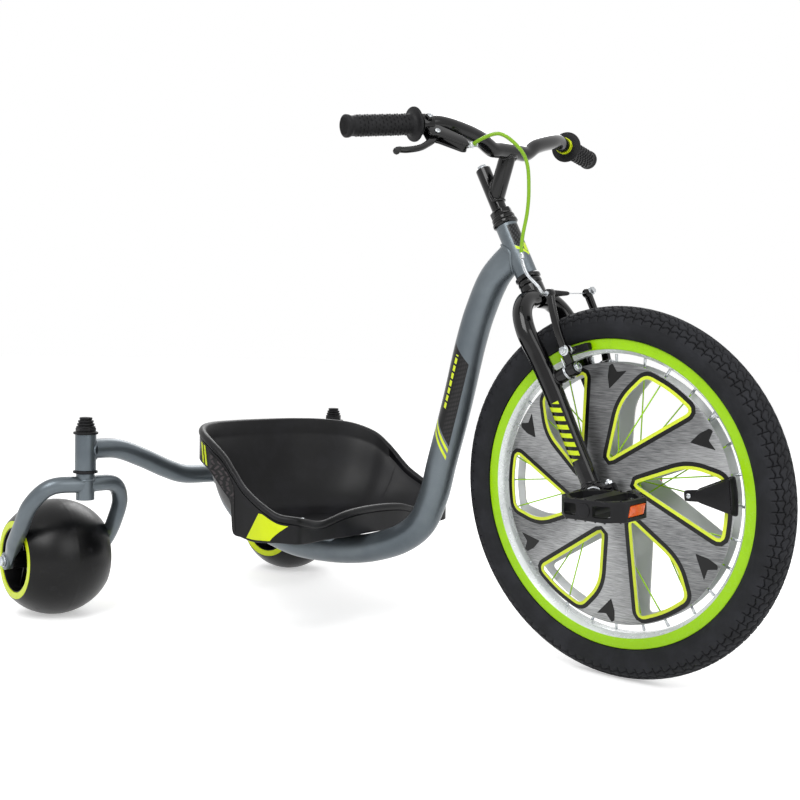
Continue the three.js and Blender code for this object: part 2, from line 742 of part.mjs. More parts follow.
// Steerer, crown, two bowed legs, brake bosses and the upper halves of the bearing holders
function makeFork() {
  const legShares = [[0.16, 0.955], [0.55, 0.94], [0.92, 0.885], [1.1, 0.79], [1.02, 0.67], [0.97, 0.5]];
  const legPath = (side, foot) => [
    ...legShares.map(([out, up]) => vec(0, side * out * legSpread, up * legTop)),
    vec(0, side * legSpread, foot)];
  const legs = sides.map(([, side]) => tube(legPath(side, legFoot), legRadius, 0, 10, 9));
  const hollows = sides.map(([, side]) => tube(
    legPath(side, bearingRadius + seatWall + legRadius), legRadius - legWall, 0, 6, 7));
  const vents = sides.map(([, side]) => rod(
    vec(0, 0, legTop * 2 / 3), vec(0, side * legSpread, legTop * 2 / 3), legVent, 6));
  const bossFront = brakeForward - brakeBossThick / 2 - gap;
  const boss = (side) => rod(
    vec(0, side * brakeSpread, brakeHeight),
    vec(bossFront, side * brakeSpread, brakeHeight), brakeBossRadius, 12);
  const drill = (side) => rod(
    vec(bossFront - brakeBoltDeep, side * brakeSpread, brakeHeight),
    vec(bossFront + overrun, side * brakeSpread, brakeHeight), brakeBoltRadius + gap, 10);
  const steerer = rod(vec(0, 0, crownTop - crownHeight / 2), vec(0, 0, steererTop), steererRadius, 16);
  const crown = rod(vec(0, 0, crownTop - crownHeight), vec(0, 0, crownTop), crownRadius, 16);
  const bore = rod(
    vec(0, 0, crownTop - crownHeight - overrun),
    vec(0, 0, steererTop + overrun), steererRadius - steererWall, 16);
  const holders = sides.map(([, side]) => holderHalf(side));
  const body = cut(
    join(crown, steerer, ...legs, boss(-1), boss(1), ...holders),
    bore, drill(-1), drill(1), ...hollows, ...vents);
  piece(steered, 'fork', body, finishes.blackPaint);
}

function makeHeadset() {
  const tubeTop = headTubeBottom + headTubeLength;
  const ringClear = roundClear(steererRadius, 16);
  const skirt = headTubeRadius - headTubeWall - gap;
  const cup = (end, face) => turnedUpright([
    [ringClear, face - end * cupHeight], [cupRadius, face - end * cupHeight], [cupRadius, face],
    [skirt, face], [skirt, face + end * cupSkirt], [ringClear, face + end * cupSkirt],
    [ringClear, face - end * cupHeight],
  ], 16);
  piece(column, 'headset_cup_lower', cup(1, headTubeBottom - gap), finishes.blackPaint);
  piece(column, 'headset_cup_upper', cup(-1, tubeTop + gap), finishes.blackPaint);
  const raceLow = crownTop + gap;
  const race = turnedUpright(washer(crownRaceRadius, ringClear, raceLow, raceLow + crownRaceHeight), 16);
  piece(steered, 'crown_race', race, finishes.blackPaint);
  const topLow = tubeTop + cupHeight + 2 * gap;
  const nutTop = topLow + topRaceHeight + locknutHeight;
  const nut = join(
    turnedUpright(washer(topRaceRadius, ringClear, topLow, topLow + topRaceHeight), 16),
    rod(vec(0, 0, topLow), vec(0, 0, nutTop), locknutRadius, 8));
  const bore = rod(vec(0, 0, 0), vec(0, 0, nutTop + overrun), ringClear, 16);
  piece(steered, 'headset_nut', cut(nut, bore), finishes.blackPaint);
}

// Handlebar, stem and grips

const gripOut = vec(-Math.sin(gripSweep * degree), 0, Math.sin(gripUpsweep * degree));
gripOut.y = Math.sqrt(1 - gripOut.x ** 2 - gripOut.z ** 2);
const mirror = (point, side) => vec(point.x, side * point.y, point.z);
const gripRoot = vec(gripForward, gripInner, barHeight + barRise);
const straightStart = gripRoot.clone().addScaledVector(gripOut, -leverStation * 5 / 2);
const clampMiddle = gripRoot.clone().addScaledVector(gripOut, -leverStation);
const barEnd = gripRoot.clone().addScaledVector(gripOut, gripLength - gripEndWall - gap);

function makeBar() {
  const middle = barShares.map(([f, y, s]) => vec(f * barForward, y * gripInner, barHeight + s * barRise));
  const half = [...middle, straightStart, clampMiddle, gripRoot, barEnd];
  const path = [...half.slice().reverse().map((p) => mirror(p, -1)), vec(barForward, 0, barHeight), ...half];
  piece(steered, 'handlebar', tube(path, barRadius, barRadius - barWall, 10, 22), finishes.blackPaint);
}

// Quill post with the riser tube that carries the bar, coped to it
function makeStem() {
  const post = rod(vec(0, 0, quillBottom), vec(0, 0, quillTop), barRadius, 16);
  const riser = rod(vec(riserFootForward, 0, riserFoot), vec(barForward, 0, barHeight), riserRadius, 16);
  const bore = rod(
    vec(0, 0, quillBottom - overrun), vec(0, 0, quillTop + overrun), quillBoltRadius + gap, 10);
  const seat = rod(
    vec(barForward, -barForward, barHeight), vec(barForward, barForward, barHeight),
    roundClear(barRadius, 20), 20);
  const behind = box(
    vec(-riserRadius * 2, -riserRadius * 2, riserFoot - riserRadius * 2),
    vec(-barRadius / 2, riserRadius * 2, quillTop));
  const riserFront = cut(riser, behind);
  const body = cut(join(post, riserFront), bore, seat);
  slant(body, quillBottom);
  piece(steered, 'stem', body, finishes.blackPaint);
}

// Tips every corner at one height into the wedge's slope
function slant(geometry, height) {
  const place = geometry.attributes.position;
  for (let i = 0; i < place.count; i += 1) {
    if (Math.abs(place.getZ(i) - height) < gap) place.setZ(i, height + wedgeSlope * place.getX(i));
  }
  return geometry;
}

// Long bolt with the expander wedge on its foot
function makeQuillBolt() {
  const wedgeTop = quillBottom - gap;
  const low = wedgeTop - wedgeHeight;
  const head = quillTop + gap;
  const bolt = turnedUpright([
    [0, low], [quillBoltRadius, low], [quillBoltRadius, head], [quillBoltHead, head],
    [quillBoltHead, head + quillBoltHeadHeight], [0, head + quillBoltHeadHeight],
  ], 8);
  const wedge = slant(rod(vec(0, 0, low), vec(0, 0, wedgeTop), barRadius, 16), wedgeTop);
  piece(steered, 'quill_bolt', join(bolt, wedge), finishes.steel);
}

function makeGrips() {
  const bore = roundClear(barRadius, 14);
  const profile = [
    [bore, gap], [gripFlange, gap], [gripFlange, gripFlangeThick], [gripRadius, gripFlangeThick],
    [gripRadius, gripLength], [0, gripLength], [0, gripLength - gripEndWall],
    [bore, gripLength - gripEndWall], [bore, gap],
  ];
  sides.forEach(([name, side]) => {
    const grip = turned(profile, 14);
    const out = mirror(gripOut, side);
    grip.applyQuaternion(new THREE.Quaternion().setFromUnitVectors(vec(0, 1, 0), out));
    const root = mirror(gripRoot, side);
    piece(steered, `grip_${name}`, grip.translate(root.x, root.y, root.z), finishes.gripRubber);
  });
}

// Brake lever on the right of the bar

// Lever frame: x outboard along the grip, y down and forward from the bar, z across the lever
const leverFrame = new THREE.Group();
const leverOut = mirror(gripOut, -1);
const leverDown = vec(Math.sin(leverTilt * degree), 0, -Math.cos(leverTilt * degree));
leverDown.addScaledVector(leverOut, -leverDown.dot(leverOut)).normalize();
leverFrame.matrix.makeBasis(leverOut, leverDown, leverOut.clone().cross(leverDown));
leverFrame.matrix.setPosition(mirror(gripRoot, -1).addScaledVector(leverOut, -leverStation));
leverFrame.matrix.decompose(leverFrame.position, leverFrame.quaternion, leverFrame.scale);
steered.add(leverFrame);

const flatPlate = (outline, thick) => plate(outline, thick).translate(0, 0, -thick / 2);
const across = (x, y, low, high, radius, count) => rod(vec(x, y, low), vec(x, y, high), radius, count);

function makePerch() {
  const outer = barRadius + gap + clampWall;
  const knee = perchDrop / 2;
  const body = flatPlate([
    [leverPivotIn, outer / 2], [perchHalfDeep, leverPivot + perchHalfDeep],
    [-leverPivotIn, leverPivot + perchHalfDeep], [-perchReach + perchHalfDeep, perchDrop + perchHalfDeep],
    [-perchReach, perchDrop + perchHalfDeep], [-perchReach, perchDrop - perchHalfDeep],
    [-knee - perchHalfDeep, knee], [-leverPivotIn * 2, outer / 2],
  ], perchThick);
  const clamp = rod(vec(-clampWidth / 2, 0, 0), vec(clampWidth / 2, 0, 0), outer, 16);
  const bore = rod(vec(-clampWidth, 0, 0), vec(clampWidth, 0, 0), roundClear(barRadius, 14), 14);
  const slotHalf = leverThick / 2 + gap;
  const slot = box(
    vec(-leverPivotIn - perchHalfDeep * 2, outer + gap, -slotHalf),
    vec(clampWidth, perchDrop * 2, slotHalf));
  const hole = across(-leverPivotIn, leverPivot, -perchThick, perchThick, pinRadius + gap, 8);
  const perch = cut(join(body, clamp), bore, slot, hole);
  piece(leverFrame, 'lever_perch', perch, finishes.blackPlastic);
  const barrel = rod(
    vec(-perchReach - gap, perchDrop, 0), vec(-perchReach - barrelLength, perchDrop, 0), barrelRadius, 10);
  piece(leverFrame, 'cable_barrel', barrel, finishes.blackPlastic);
}

// Blade from a round root at the pivot, bending to run below the grip
function makeLever() {
  const half = bladeThick / 2;
  const path = [[0, 0], ...bladeShares].map(([x, y]) => [
    -leverPivotIn + x * leverReach, leverPivot + y * leverDrop]);
  const upper = path.map(([x, y]) => [x, y - half * (leverDrop / leverReach + 1 / 2)]);
  const lower = path.map(([x, y]) => [x, y + half]).reverse();
  const root = across(-leverPivotIn, leverPivot, -leverThick / 2, leverThick / 2, perchHalfDeep, 12);
  const blade = flatPlate([...upper, ...lower], leverThick);
  const hole = across(-leverPivotIn, leverPivot, -leverThick, leverThick, pinRadius + gap, 8);
  piece(leverFrame, 'brake_lever', cut(join(blade, root), hole), finishes.blackPlastic);
  const pin = perchThick / 2 + gap;
  const bolt = turnedUpright([
    [0, -pin - pinHeadThick], [pinHead, -pin - pinHeadThick], [pinHead, -pin], [pinRadius, -pin],
    [pinRadius, pin], [pinHead, pin], [pinHead, pin + pinHeadThick], [0, pin + pinHeadThick],
  ], 8).translate(-leverPivotIn, leverPivot, 0);
  piece(leverFrame, 'lever_pin', bolt, finishes.steel);
}

// Rim brake

const padTurn = Math.asin((brakeForward + armLean / 3) / padRadius);
const padMiddle = (side, y) => vec(padRadius * Math.sin(padTurn), side * y, padRadius * Math.cos(padTurn));
const armAt = (side, share) => vec(
  brakeForward + armLean * share,
  side * (brakeSpread + (armTopSpread - brakeSpread) * share + armBow * Math.sin(Math.PI * share)),
  brakeHeight + armLength * share);

function makeBrakeArms() {
  const shares = [0, 0.3, 0.6, 1];
  sides.forEach(([name, side]) => {
    const rings = shares.map((share) => oval(
      armAt(side, share), vec(armDeep / 2 - share * 2 * gap, 0, 0),
      vec(0, (armWide / 2) * (1 - share / 5), 0), 8));
    const boss = rod(
      vec(brakeForward - brakeBossThick / 2, side * brakeSpread, brakeHeight),
      vec(brakeForward + brakeBossThick / 2, side * brakeSpread, brakeHeight), brakeBossRadius, 12);
    const eyeTop = armAt(side, 1);
    const head = rod(
      eyeTop.clone().setY(eyeTop.y - armWide / 2),
      eyeTop.clone().setY(eyeTop.y + armWide / 2), armDeep / 2 + gap, 10);
    const pivot = rod(
      vec(0, side * brakeSpread, brakeHeight), vec(brakeForward * 2, side * brakeSpread, brakeHeight),
      roundClear(brakeBoltRadius, 10), 10);
    const padHole = rod(
      padMiddle(side, rimHalfWidth), padMiddle(side, brakeSpread * 2), padStudRadius + gap, 8);
    const cableRoom = side < 0 ? noodleRadius + 3 * gap : wireRadius + gap;
    const eye = rod(
      eyeTop.clone().setY(eyeTop.y - armWide * 2), eyeTop.clone().setY(eyeTop.y + armWide * 2), cableRoom, 8);
    const anchorHole = rod(
      eyeTop.clone().setX(eyeTop.x - gap),
      eyeTop.clone().setX(eyeTop.x + armDeep), anchorRadius / 2 + gap, 8);
    const drills = side < 0 ? [pivot, padHole, eye] : [pivot, padHole, eye, anchorHole];
    const arm = cut(join(loft(rings), boss, head), ...drills);
    piece(steered, `brake_arm_${name}`, arm, finishes.blackPaint);
    const padIn = rimHalfWidth + padClearance;
    const armY = padArmSpread(side);
    const block = box(
      vec(-padLength / 2, padIn, -padTall / 2), vec(padLength / 2, padIn + padThick, padTall / 2));
    block.scale(1, side, 1).rotateY(padTurn).translate(padMiddle(side, 0).x, 0, padMiddle(side, 0).z);
    const studEnd = padMiddle(side, armY + armWide);
    const stud = rod(padMiddle(side, padIn + padThick - overrun), studEnd, padStudRadius, 8);
    const nut = rod(padMiddle(side, armY + armWide / 2 + gap * 2), studEnd, padNutRadius, 8);
    piece(steered, `brake_pad_${name}`, join(block, stud, nut), finishes.blackPlastic);
  });
}

// How far out the arm lies where the pad's stud passes through it
function padArmSpread(side) {
  const share = (padRadius * Math.cos(padTurn) - brakeHeight) / armLength;
  return Math.abs(armAt(side, share).y);
}

function makeBrakeBolts() {
  const front = brakeForward + brakeBossThick / 2 + gap;
  const back = brakeForward - brakeBossThick / 2 - brakeBoltDeep + gap;
  sides.forEach(([name, side]) => {
    const bolt = turned([
      [0, back], [brakeBoltRadius, back], [brakeBoltRadius, front], [brakeBoltRadius * 3 / 2, front],
      [brakeBoltRadius * 3 / 2, front + brakeBoltRadius], [0, front + brakeBoltRadius],
    ], 8).rotateZ(-Math.PI / 2).translate(0, side * brakeSpread, brakeHeight);
    piece(steered, `brake_bolt_${name}`, bolt, finishes.steel);
  });
}

// Cable from the lever's barrel round the front of the stem to the right arm, and across to the left one
const cableStart = vec(-perchReach - barrelLength - gap, perchDrop, 0);
const cableRoute = [
  [77, -111, 494], [112, -100, 488], [123, -85, 460], [119, -75, 441], [102, -70, 409], [86, -70, 384],
  [69, -76, 357.5], [60, -79, 340], [56.5, -80, 329],
];
const noodleRoute = [
  [56.3, -80.06, 328.4], [54.6, -80, 322], [53, -78, 307], [56, -70, 288], [53, -60, 278],
  [53, -45, 278], [53, -26, 278],
];

function makeCable() {
  const start = cableStart.clone().applyMatrix4(leverFrame.matrix);
  const after = cableStart.clone().add(vec(-barrelLength / 2, 0, 0)).applyMatrix4(leverFrame.matrix);
  const route = [start, after, ...cableRoute.map((p) => vec(...p))];
  piece(steered, 'cable_housing', tube(route, cableRadius, 0, 8, 26), finishes.lime);
  const noodle = tube(noodleRoute.map((p) => vec(...p)), noodleRadius, 0, 8, 12);
  piece(steered, 'cable_noodle', noodle, finishes.steel);
  const top = armAt(-1, 1);
  const bootStart = top.y + armWide / 2 + bootStand;
  const boot = turned(washer(bootRadius, bootBore, bootStart, bootStart + bootLength), 10);
  piece(steered, 'cable_boot', boot.translate(top.x, 0, top.z), finishes.gripRubber);
  const far = armAt(1, 1);
  const wire = rod(
    vec(far.x, bootStart + bootGrip * 2, far.z), vec(far.x, far.y + armWide, far.z), wireRadius, 6);
  const face = far.x + armDeep / 2 + 2 * gap;
  const anchor = turned([
    [0, far.x], [anchorRadius / 2, far.x], [anchorRadius / 2, face], [anchorRadius, face],
    [anchorRadius, face + anchorRadius], [0, face + anchorRadius],
  ], 6).rotateZ(-Math.PI / 2).translate(0, far.y, far.z);
  piece(steered, 'cable_wire', join(wire, anchor), finishes.steel);
}

// Frame: head tube, main tube, rear boom with its caster sleeves, and seat bracket

function makeHeadTube() {
  const profile = washer(
    headTubeRadius, headTubeRadius - headTubeWall, headTubeBottom, headTubeBottom + headTubeLength);
  piece(column, 'head_tube', turnedUpright(profile, 16), finishes.framePaint);
}

// Main tube: down from the boom, along under the seat, and up behind the tyre to the head tube's middle
const headMiddle = headTubeBottom + headTubeLength / 2;
const mainTubeReach = wheelbase - headMiddle * Math.sin(headAngle * degree);
const mainTubeRise = tyreRadius + headMiddle * Math.cos(headAngle * degree);
const lowRun = mainTubeReach - mainTubeTail - mainTubeFront;
const mainPath = [
  ...tailShares.map(([x, z]) => vec(x * mainTubeTail, 0, mainTubeFoot + z * (boomHeight - mainTubeFoot))),
  ...lowShares.map(([x, z]) => vec(
    mainTubeTail + x * lowRun, 0, mainTubeFoot - z * (mainTubeFoot - mainTubeLow))),
  ...frontShares.map(([x, z]) => vec(
    mainTubeReach + (x - 1) * mainTubeFront, 0, mainTubeFoot + z * (mainTubeRise - mainTubeFoot))),
];

function makeMainTube() {
  const axis = vec(-Math.sin(headAngle * degree), 0, Math.cos(headAngle * degree));
  const hub = vec(wheelbase, 0, tyreRadius);
  const head = rod(
    hub.clone().addScaledVector(axis, headTubeBottom - headTubeLength),
    hub.clone().addScaledVector(axis, headTubeBottom + headTubeLength * 2),
    roundClear(headTubeRadius, 16), 16);
  const past = box(vec(mainTubeReach, -headTubeLength, 0), vec(wheelbase, headTubeLength, wheelbase));
  const boom = rod(
    vec(0, -boomHeight, boomHeight), vec(0, boomHeight, boomHeight), roundClear(boomRadius, 12), 12);
  const tail = box(vec(-boomHeight, -boomHeight, 0), vec(0, boomHeight, boomHeight * 2));
  const outer = tube(mainPath, mainTubeRadius, mainTubeRadius - mainTubeWall, 10, 20);
  piece(trike, 'main_tube', cut(outer, head, past, boom, tail), finishes.framePaint);
}

function makeBoom() {
  const halfTrack = casterTrack / 2;
  const half = boomShares.map(([y, up]) => [y * halfTrack, boomHeight + up * (boomEndHeight - boomHeight)]);
  half.push([halfTrack, boomEndHeight]);
  const left = half.map(([y, z]) => vec(0, y, z));
  const path = [...left.slice().reverse().map((p) => mirror(p, -1)), ...left];
  const sleeves = sides.map(([, side]) => rod(
    vec(0, side * halfTrack, 0),
    vec(0, side * halfTrack, boomEndHeight * 2), sleeveRadius - sleeveWall / 2, 14));
  const ring = washer(sleeveRadius, sleeveRadius - sleeveWall, sleeveBottom, sleeveBottom + sleeveLength);
  const rings = sides.map(([, side]) => turnedUpright(ring, 14).translate(0, side * halfTrack, 0));
  const bar = cut(tube(path, boomRadius, boomRadius - boomWall, 10, 14), ...sleeves);
  const vents = sides.map(([, side]) => rod(
    vec(0, side * (halfTrack - sleeveRadius * 2), boomEndHeight),
    vec(0, side * halfTrack, boomEndHeight), boomVent, 6));
  piece(trike, 'rear_boom', cut(join(bar, ...rings), ...vents), finishes.framePaint);
}

const seatBoltSpots = [['rear', bracketRear + bracketBoltInset], ['front', bracketFront - bracketBoltInset]];

function makeBracket() {
  const block = box(
    vec(bracketRear, -bracketHalfWidth, bracketTop - bracketDepth),
    vec(bracketFront, bracketHalfWidth, bracketTop));
  const room = tube(mainPath, mainTubeRadius + gap / Math.cos(Math.PI / 10), 0, 10, 20);
  const drills = seatBoltSpots.map(([, x]) => rod(
    vec(x, 0, bracketTop - seatBoltDeep - gap), vec(x, 0, bracketTop + overrun), seatBoltRadius + gap, 8));
  piece(trike, 'seat_bracket', cut(block, room, ...drills), finishes.framePaint);
}

// Seat

// Rings of the moulding from the middle of the bowl up its inside, over the rolled rim, down the
// skirt, and back under the bowl to the middle
function makeSeat() {
  const under = bracketTop + gap;
  const half = seatOutlineShares.map(([x, y, rim, skirt]) => ({
    x: seatBack + x * seatLength - seatFloorCentre,
    y: y * seatHalfWidth,
    rim: rim * seatHeight,
    skirt: skirt * seatHeight,
  }));
  const outline = [...half, ...half.slice(1, -1).reverse().map((p) => ({ ...p, y: -p.y }))];
  const wall = seatWallThick;
  const ring = (share, height, inset = 0) => outline.map((p) => {
    const reach = Math.hypot(p.x, p.y);
    const scale = share + inset / reach;
    return vec(seatFloorCentre + p.x * scale, p.y * scale, under + height(p));
  });
  const inside = seatBowlShares.map(([out, up]) => ring(out, (p) => wall + up * (p.rim - wall)));
  const rim = [
    ring(1, (p) => p.rim, -seatRoll), ring(1, (p) => p.rim, -wall), ring(1, (p) => p.rim - wall),
  ];
  const skirt = [
    ring(1, (p) => p.skirt), ring(1, (p) => p.skirt, -wall), ring(1, (p) => p.rim - seatRoll - wall, -wall),
  ];
  const outside = seatBowlShares.slice().reverse().map(([out, up]) => ring(
    out, (p) => Math.min(up * (p.rim - wall), p.rim - seatRoll - wall), out < 1 / 2 ? 0 : wall));
  const shell = loft([...inside, ...rim, ...skirt, ...outside]);
  const holes = seatBoltSpots.map(([, x]) => rod(
    vec(x, 0, under - overrun), vec(x, 0, under + wall + overrun), seatBoltRadius + gap, 8));
  piece(trike, 'seat', cut(shell, ...holes), finishes.blackPlastic);
  const headLow = under + wall + gap;
  seatBoltSpots.forEach(([name, x]) => {
    const bolt = turnedUpright([
      [0, bracketTop - seatBoltDeep], [seatBoltRadius, bracketTop - seatBoltDeep],
      [seatBoltRadius, headLow], [seatBoltHead, headLow],
      [seatBoltHead, headLow + seatBoltHeadThick], [0, headLow + seatBoltHeadThick],
    ], 8).translate(x, 0, 0);
    piece(trike, `seat_bolt_${name}`, bolt, finishes.steel);
  });
}

// Casters: each swivels about its kingpin, and trails along its own -x

const bushLow = sleeveBottom - gap;
const bushHigh = sleeveBottom + sleeveLength + gap;
const casterAxle = () => vec(-casterTrail, 0, ballRadius);

// Flanged liner through each sleeve
function makeBushes() {
  const bore = roundClear(kingpinRadius, 12);
  const barrel = sleeveRadius - sleeveWall - gap * 2;
  const profile = [
    [bore, bushLow - bushFlangeThick], [bushFlange, bushLow - bushFlangeThick], [bushFlange, bushLow],
    [barrel, bushLow], [barrel, bushHigh], [bushFlange, bushHigh], [bushFlange, bushHigh + bushFlangeThick],
    [bore, bushHigh + bushFlangeThick], [bore, bushLow - bushFlangeThick],
  ];
  sides.forEach(([name, side]) => {
    const bush = turnedUpright(profile, 12).translate(0, (side * casterTrack) / 2, 0);
    piece(trike, `caster_bush_${name}`, bush, finishes.blackPlastic);
  });
}

function makeCasterFork(caster, name) {
  const axle = casterAxle();
  const arm = (side) => armShares.map(([back, out, up]) => vec(
    -back * casterTrail, side * out * armSpread, ballRadius + up * (armHeight - ballRadius)));
  const path = [...arm(-1).reverse(), vec(0, 0, armHeight), ...arm(1)];
  const hoop = tube(path, armRadius, 0, 8, 12);
  const hollow = tube(path, armRadius - armWall, 0, 6, 8);
  const ends = sides.map(([, side]) => {
    const last = arm(side).pop();
    const end = vec(axle.x, side * armSpread, axle.z);
    const along = end.clone().sub(last).normalize();
    const wide = along.clone().cross(vec(0, 1, 0));
    const ring = (share, half, deep) => oval(
      last.clone().lerp(end, share), vec(0, half, 0), wide.clone().multiplyScalar(deep), 10);
    const flat = loft([
      ring(-1 / 4, armRadius - gap, armRadius - gap), ring(1 / 2, armFlat, armEndRadius),
      ring(1, armFlat, armEndRadius)]);
    const eye = rod(end.clone().setY(end.y - armFlat), end.clone().setY(end.y + armFlat), armEndRadius, 14);
    return join(flat, eye);
  });
  const bore = rod(
    vec(axle.x, -armSpread * 2, axle.z),
    vec(axle.x, armSpread * 2, axle.z), roundClear(ballAxleRadius, 10), 10);
  const stem = rod(vec(0, 0, stemBottom), vec(0, 0, bushLow - bushFlangeThick - gap), stemRadius, 14);
  const kingpin = rod(vec(0, 0, armHeight), vec(0, 0, kingpinTop), kingpinRadius, 14);
  const vent = rod(vec(0, 0, armHeight), vec(stemRadius * 2, 0, armHeight), stemVent, 6);
  const body = cut(join(hoop, stem, kingpin, ...ends), hollow, bore, vent);
  piece(caster, `caster_fork_${name}`, body, finishes.framePaint);
}

function makeCasterNut(caster, name) {
  const nutLow = bushHigh + bushFlangeThick + gap;
  const capLow = nutLow + nutHeight;
  const bore = roundClear(kingpinRadius, 12);
  const nut = rod(vec(0, 0, nutLow), vec(0, 0, capLow), nutRadius, 6);
  const cap = turnedUpright([
    [0, nutLow], [capRadius, nutLow], [capRadius, capLow + capHeight / 2], [bore, capLow + capHeight],
    [0, capLow + capHeight],
  ], 12);
  const room = rod(vec(0, 0, 0), vec(0, 0, kingpinTop + gap), bore, 12);
  piece(caster, `caster_nut_${name}`, cut(join(nut, cap), room), finishes.blackPlastic);
}

// Hollow ball cut flat at both sides, with a deep recess and a long hub
function makeBall(caster, name) {
  const axle = casterAxle();
  const hubEnd = armSpread - armFlat - gap;
  const bore = roundClear(ballAxleRadius, 12);
  const widest = Math.asin(ballHalfWidth / ballRadius);
  const arc = (radius, from, to, count) => Array.from({ length: count + 1 }, (_, k) => {
    const turn = from + ((to - from) * k) / count;
    return [radius * Math.cos(turn), radius * Math.sin(turn)];
  });
  const floor = ballHalfWidth - ballRecess;
  const profile = [
    ...arc(ballRadius, -widest, widest, 6),
    [ballRing, ballHalfWidth], [ballRing, floor], [ballHub, floor], [ballHub, hubEnd], [bore, hubEnd],
    [bore, -hubEnd], [ballHub, -hubEnd], [ballHub, -floor], [ballRing, -floor], [ballRing, -ballHalfWidth],
    arc(ballRadius, -widest, widest, 6)[0],
  ];
  const deep = Math.asin((ballHalfWidth - ballWall) / (ballRadius - ballWall));
  const low = floor - ballWall;
  const cavity = [
    ...arc(ballRadius - ballWall, -deep, deep, 3),
    [ballRing + ballWall, ballHalfWidth - ballWall], [ballRing + ballWall, low], [ballHub + ballWall, low],
    [ballHub + ballWall, -low], [ballRing + ballWall, -low], [ballRing + ballWall, ballWall - ballHalfWidth],
    arc(ballRadius - ballWall, -deep, deep, 3)[0],
  ];
  const ventAt = (ballHub + ballRing) / 2;
  const vent = rod(vec(ventAt, low - ballWall, 0), vec(ventAt, floor + ballWall, 0), ballVent, 6);
  const body = cut(turned(profile, 18), turned(cavity, 12), vent).translate(axle.x, 0, axle.z);
  piece(caster, `ball_${name}`, body, finishes.ballPlastic);
  const face = armSpread + armFlat + gap;
  const bolt = turned([
    [0, -face - ballAxleHeadThick], [ballAxleHead, -face - ballAxleHeadThick], [ballAxleHead, -face],
    [ballAxleRadius, -face], [ballAxleRadius, face], [ballAxleHead, face],
    [ballAxleHead, face + ballAxleHeadThick], [0, face + ballAxleHeadThick],
  ], 10).translate(axle.x, 0, axle.z);
  piece(caster, `ball_axle_${name}`, bolt, finishes.steel);
}

function makeCasters() {
  makeBushes();
  sides.forEach(([name, side]) => {
    const caster = new THREE.Group();
    caster.position.set(0, (side * casterTrack) / 2, 0);
    caster.rotation.z = (side < 0 ? rightSwivel : leftSwivel) * degree;
    trike.add(caster);
    makeCasterFork(caster, name);
    makeCasterNut(caster, name);
    makeBall(caster, name);
  });
}

// Everything, moved so that the origin is under the middle of the whole trike
makeTyre();
makeRim();
makeHub();
makeCovers();
makeReflector();
makeAxle();
makeCranks();
makeCrankBolts();
makeSpindles();
makePedals();
makeBearings();
makeCaps();
makeFork();
makeHeadset();
makeBar();
makeStem();
makeQuillBolt();
makeGrips();
makePerch();
makeLever();
makeBrakeArms();
makeBrakeBolts();
makeCable();
makeHeadTube();
makeMainTube();
makeBoom();
makeBracket();
makeSeat();
makeCasters();
const extent = new THREE.Box3().setFromObject(trike, true);
const middle = extent.getCenter(new THREE.Vector3());
trike.position.set(-middle.x, -middle.y, -extent.min.z);
trike.updateMatrixWorld(true);

export default trike;
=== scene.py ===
# A low drift trike dressed for rendering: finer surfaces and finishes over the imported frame.
import json
import math
import bmesh
import bpy
import numpy as np
from mathutils import Matrix


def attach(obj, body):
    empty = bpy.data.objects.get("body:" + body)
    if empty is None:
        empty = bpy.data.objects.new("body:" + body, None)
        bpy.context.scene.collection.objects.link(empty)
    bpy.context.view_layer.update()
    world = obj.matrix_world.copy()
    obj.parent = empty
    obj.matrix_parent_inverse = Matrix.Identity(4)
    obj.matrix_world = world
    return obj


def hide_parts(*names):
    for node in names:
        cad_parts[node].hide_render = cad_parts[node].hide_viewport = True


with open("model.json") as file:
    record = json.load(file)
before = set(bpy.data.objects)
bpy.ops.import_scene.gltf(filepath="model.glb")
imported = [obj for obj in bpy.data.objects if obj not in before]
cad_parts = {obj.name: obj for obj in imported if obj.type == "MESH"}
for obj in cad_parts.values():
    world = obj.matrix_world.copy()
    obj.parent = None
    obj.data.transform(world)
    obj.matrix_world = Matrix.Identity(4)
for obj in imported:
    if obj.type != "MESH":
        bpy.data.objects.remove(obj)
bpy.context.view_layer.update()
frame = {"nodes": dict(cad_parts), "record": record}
print("frame loaded,", len(frame["nodes"]), "nodes")


class Sizes(dict):  # dictionary whose entries read as attributes
    __getattr__ = dict.__getitem__


# Frames of reference, 4 by 4, in millimetres
def moved(x, y, z):  # shift by x, y, z
    return np.array([[1, 0, 0, x], [0, 1, 0, y], [0, 0, 1, z], [0, 0, 0, 1]], float)


def turnedY(degrees):  # turn about Y
    c, s = math.cos(math.radians(degrees)), math.sin(math.radians(degrees))
    return np.array([[c, 0, s, 0], [0, 1, 0, 0], [-s, 0, c, 0], [0, 0, 0, 1]], float)


def turnedZ(degrees):  # turn about Z
    c, s = math.cos(math.radians(degrees)), math.sin(math.radians(degrees))
    return np.array([[c, -s, 0, 0], [s, c, 0, 0], [0, 0, 1, 0], [0, 0, 0, 1]], float)


layout = Sizes(
    middle=(-408.8016, -5.2945),  # puts the origin under the middle of the trike
    wheelbase=765.5, tyreRadius=254, headAngle=27, steerAngle=-6.84, crankAngle=9,
    halfTrack=295, swivels={"right": -12.1, "left": 1.9},
)
sides = (("right", -1), ("left", 1))
ground = moved(*layout.middle, 0)
column = ground @ moved(layout.wheelbase, 0, layout.tyreRadius) @ turnedY(-layout.headAngle)
steered = column @ turnedZ(layout.steerAngle)
wheel = steered @ turnedY(layout.headAngle)
placeOf = {"frame": ground, "front_end": steered, "front_wheel": wheel}  # where a body's pieces are drawn
for name, side in sides:
    pin = ground @ moved(0, side * layout.halfTrack, 0) @ turnedZ(layout.swivels[name])
    placeOf.update({f"brake_arm_{name}": steered, f"caster_{name}": pin, f"ball_{name}": pin})


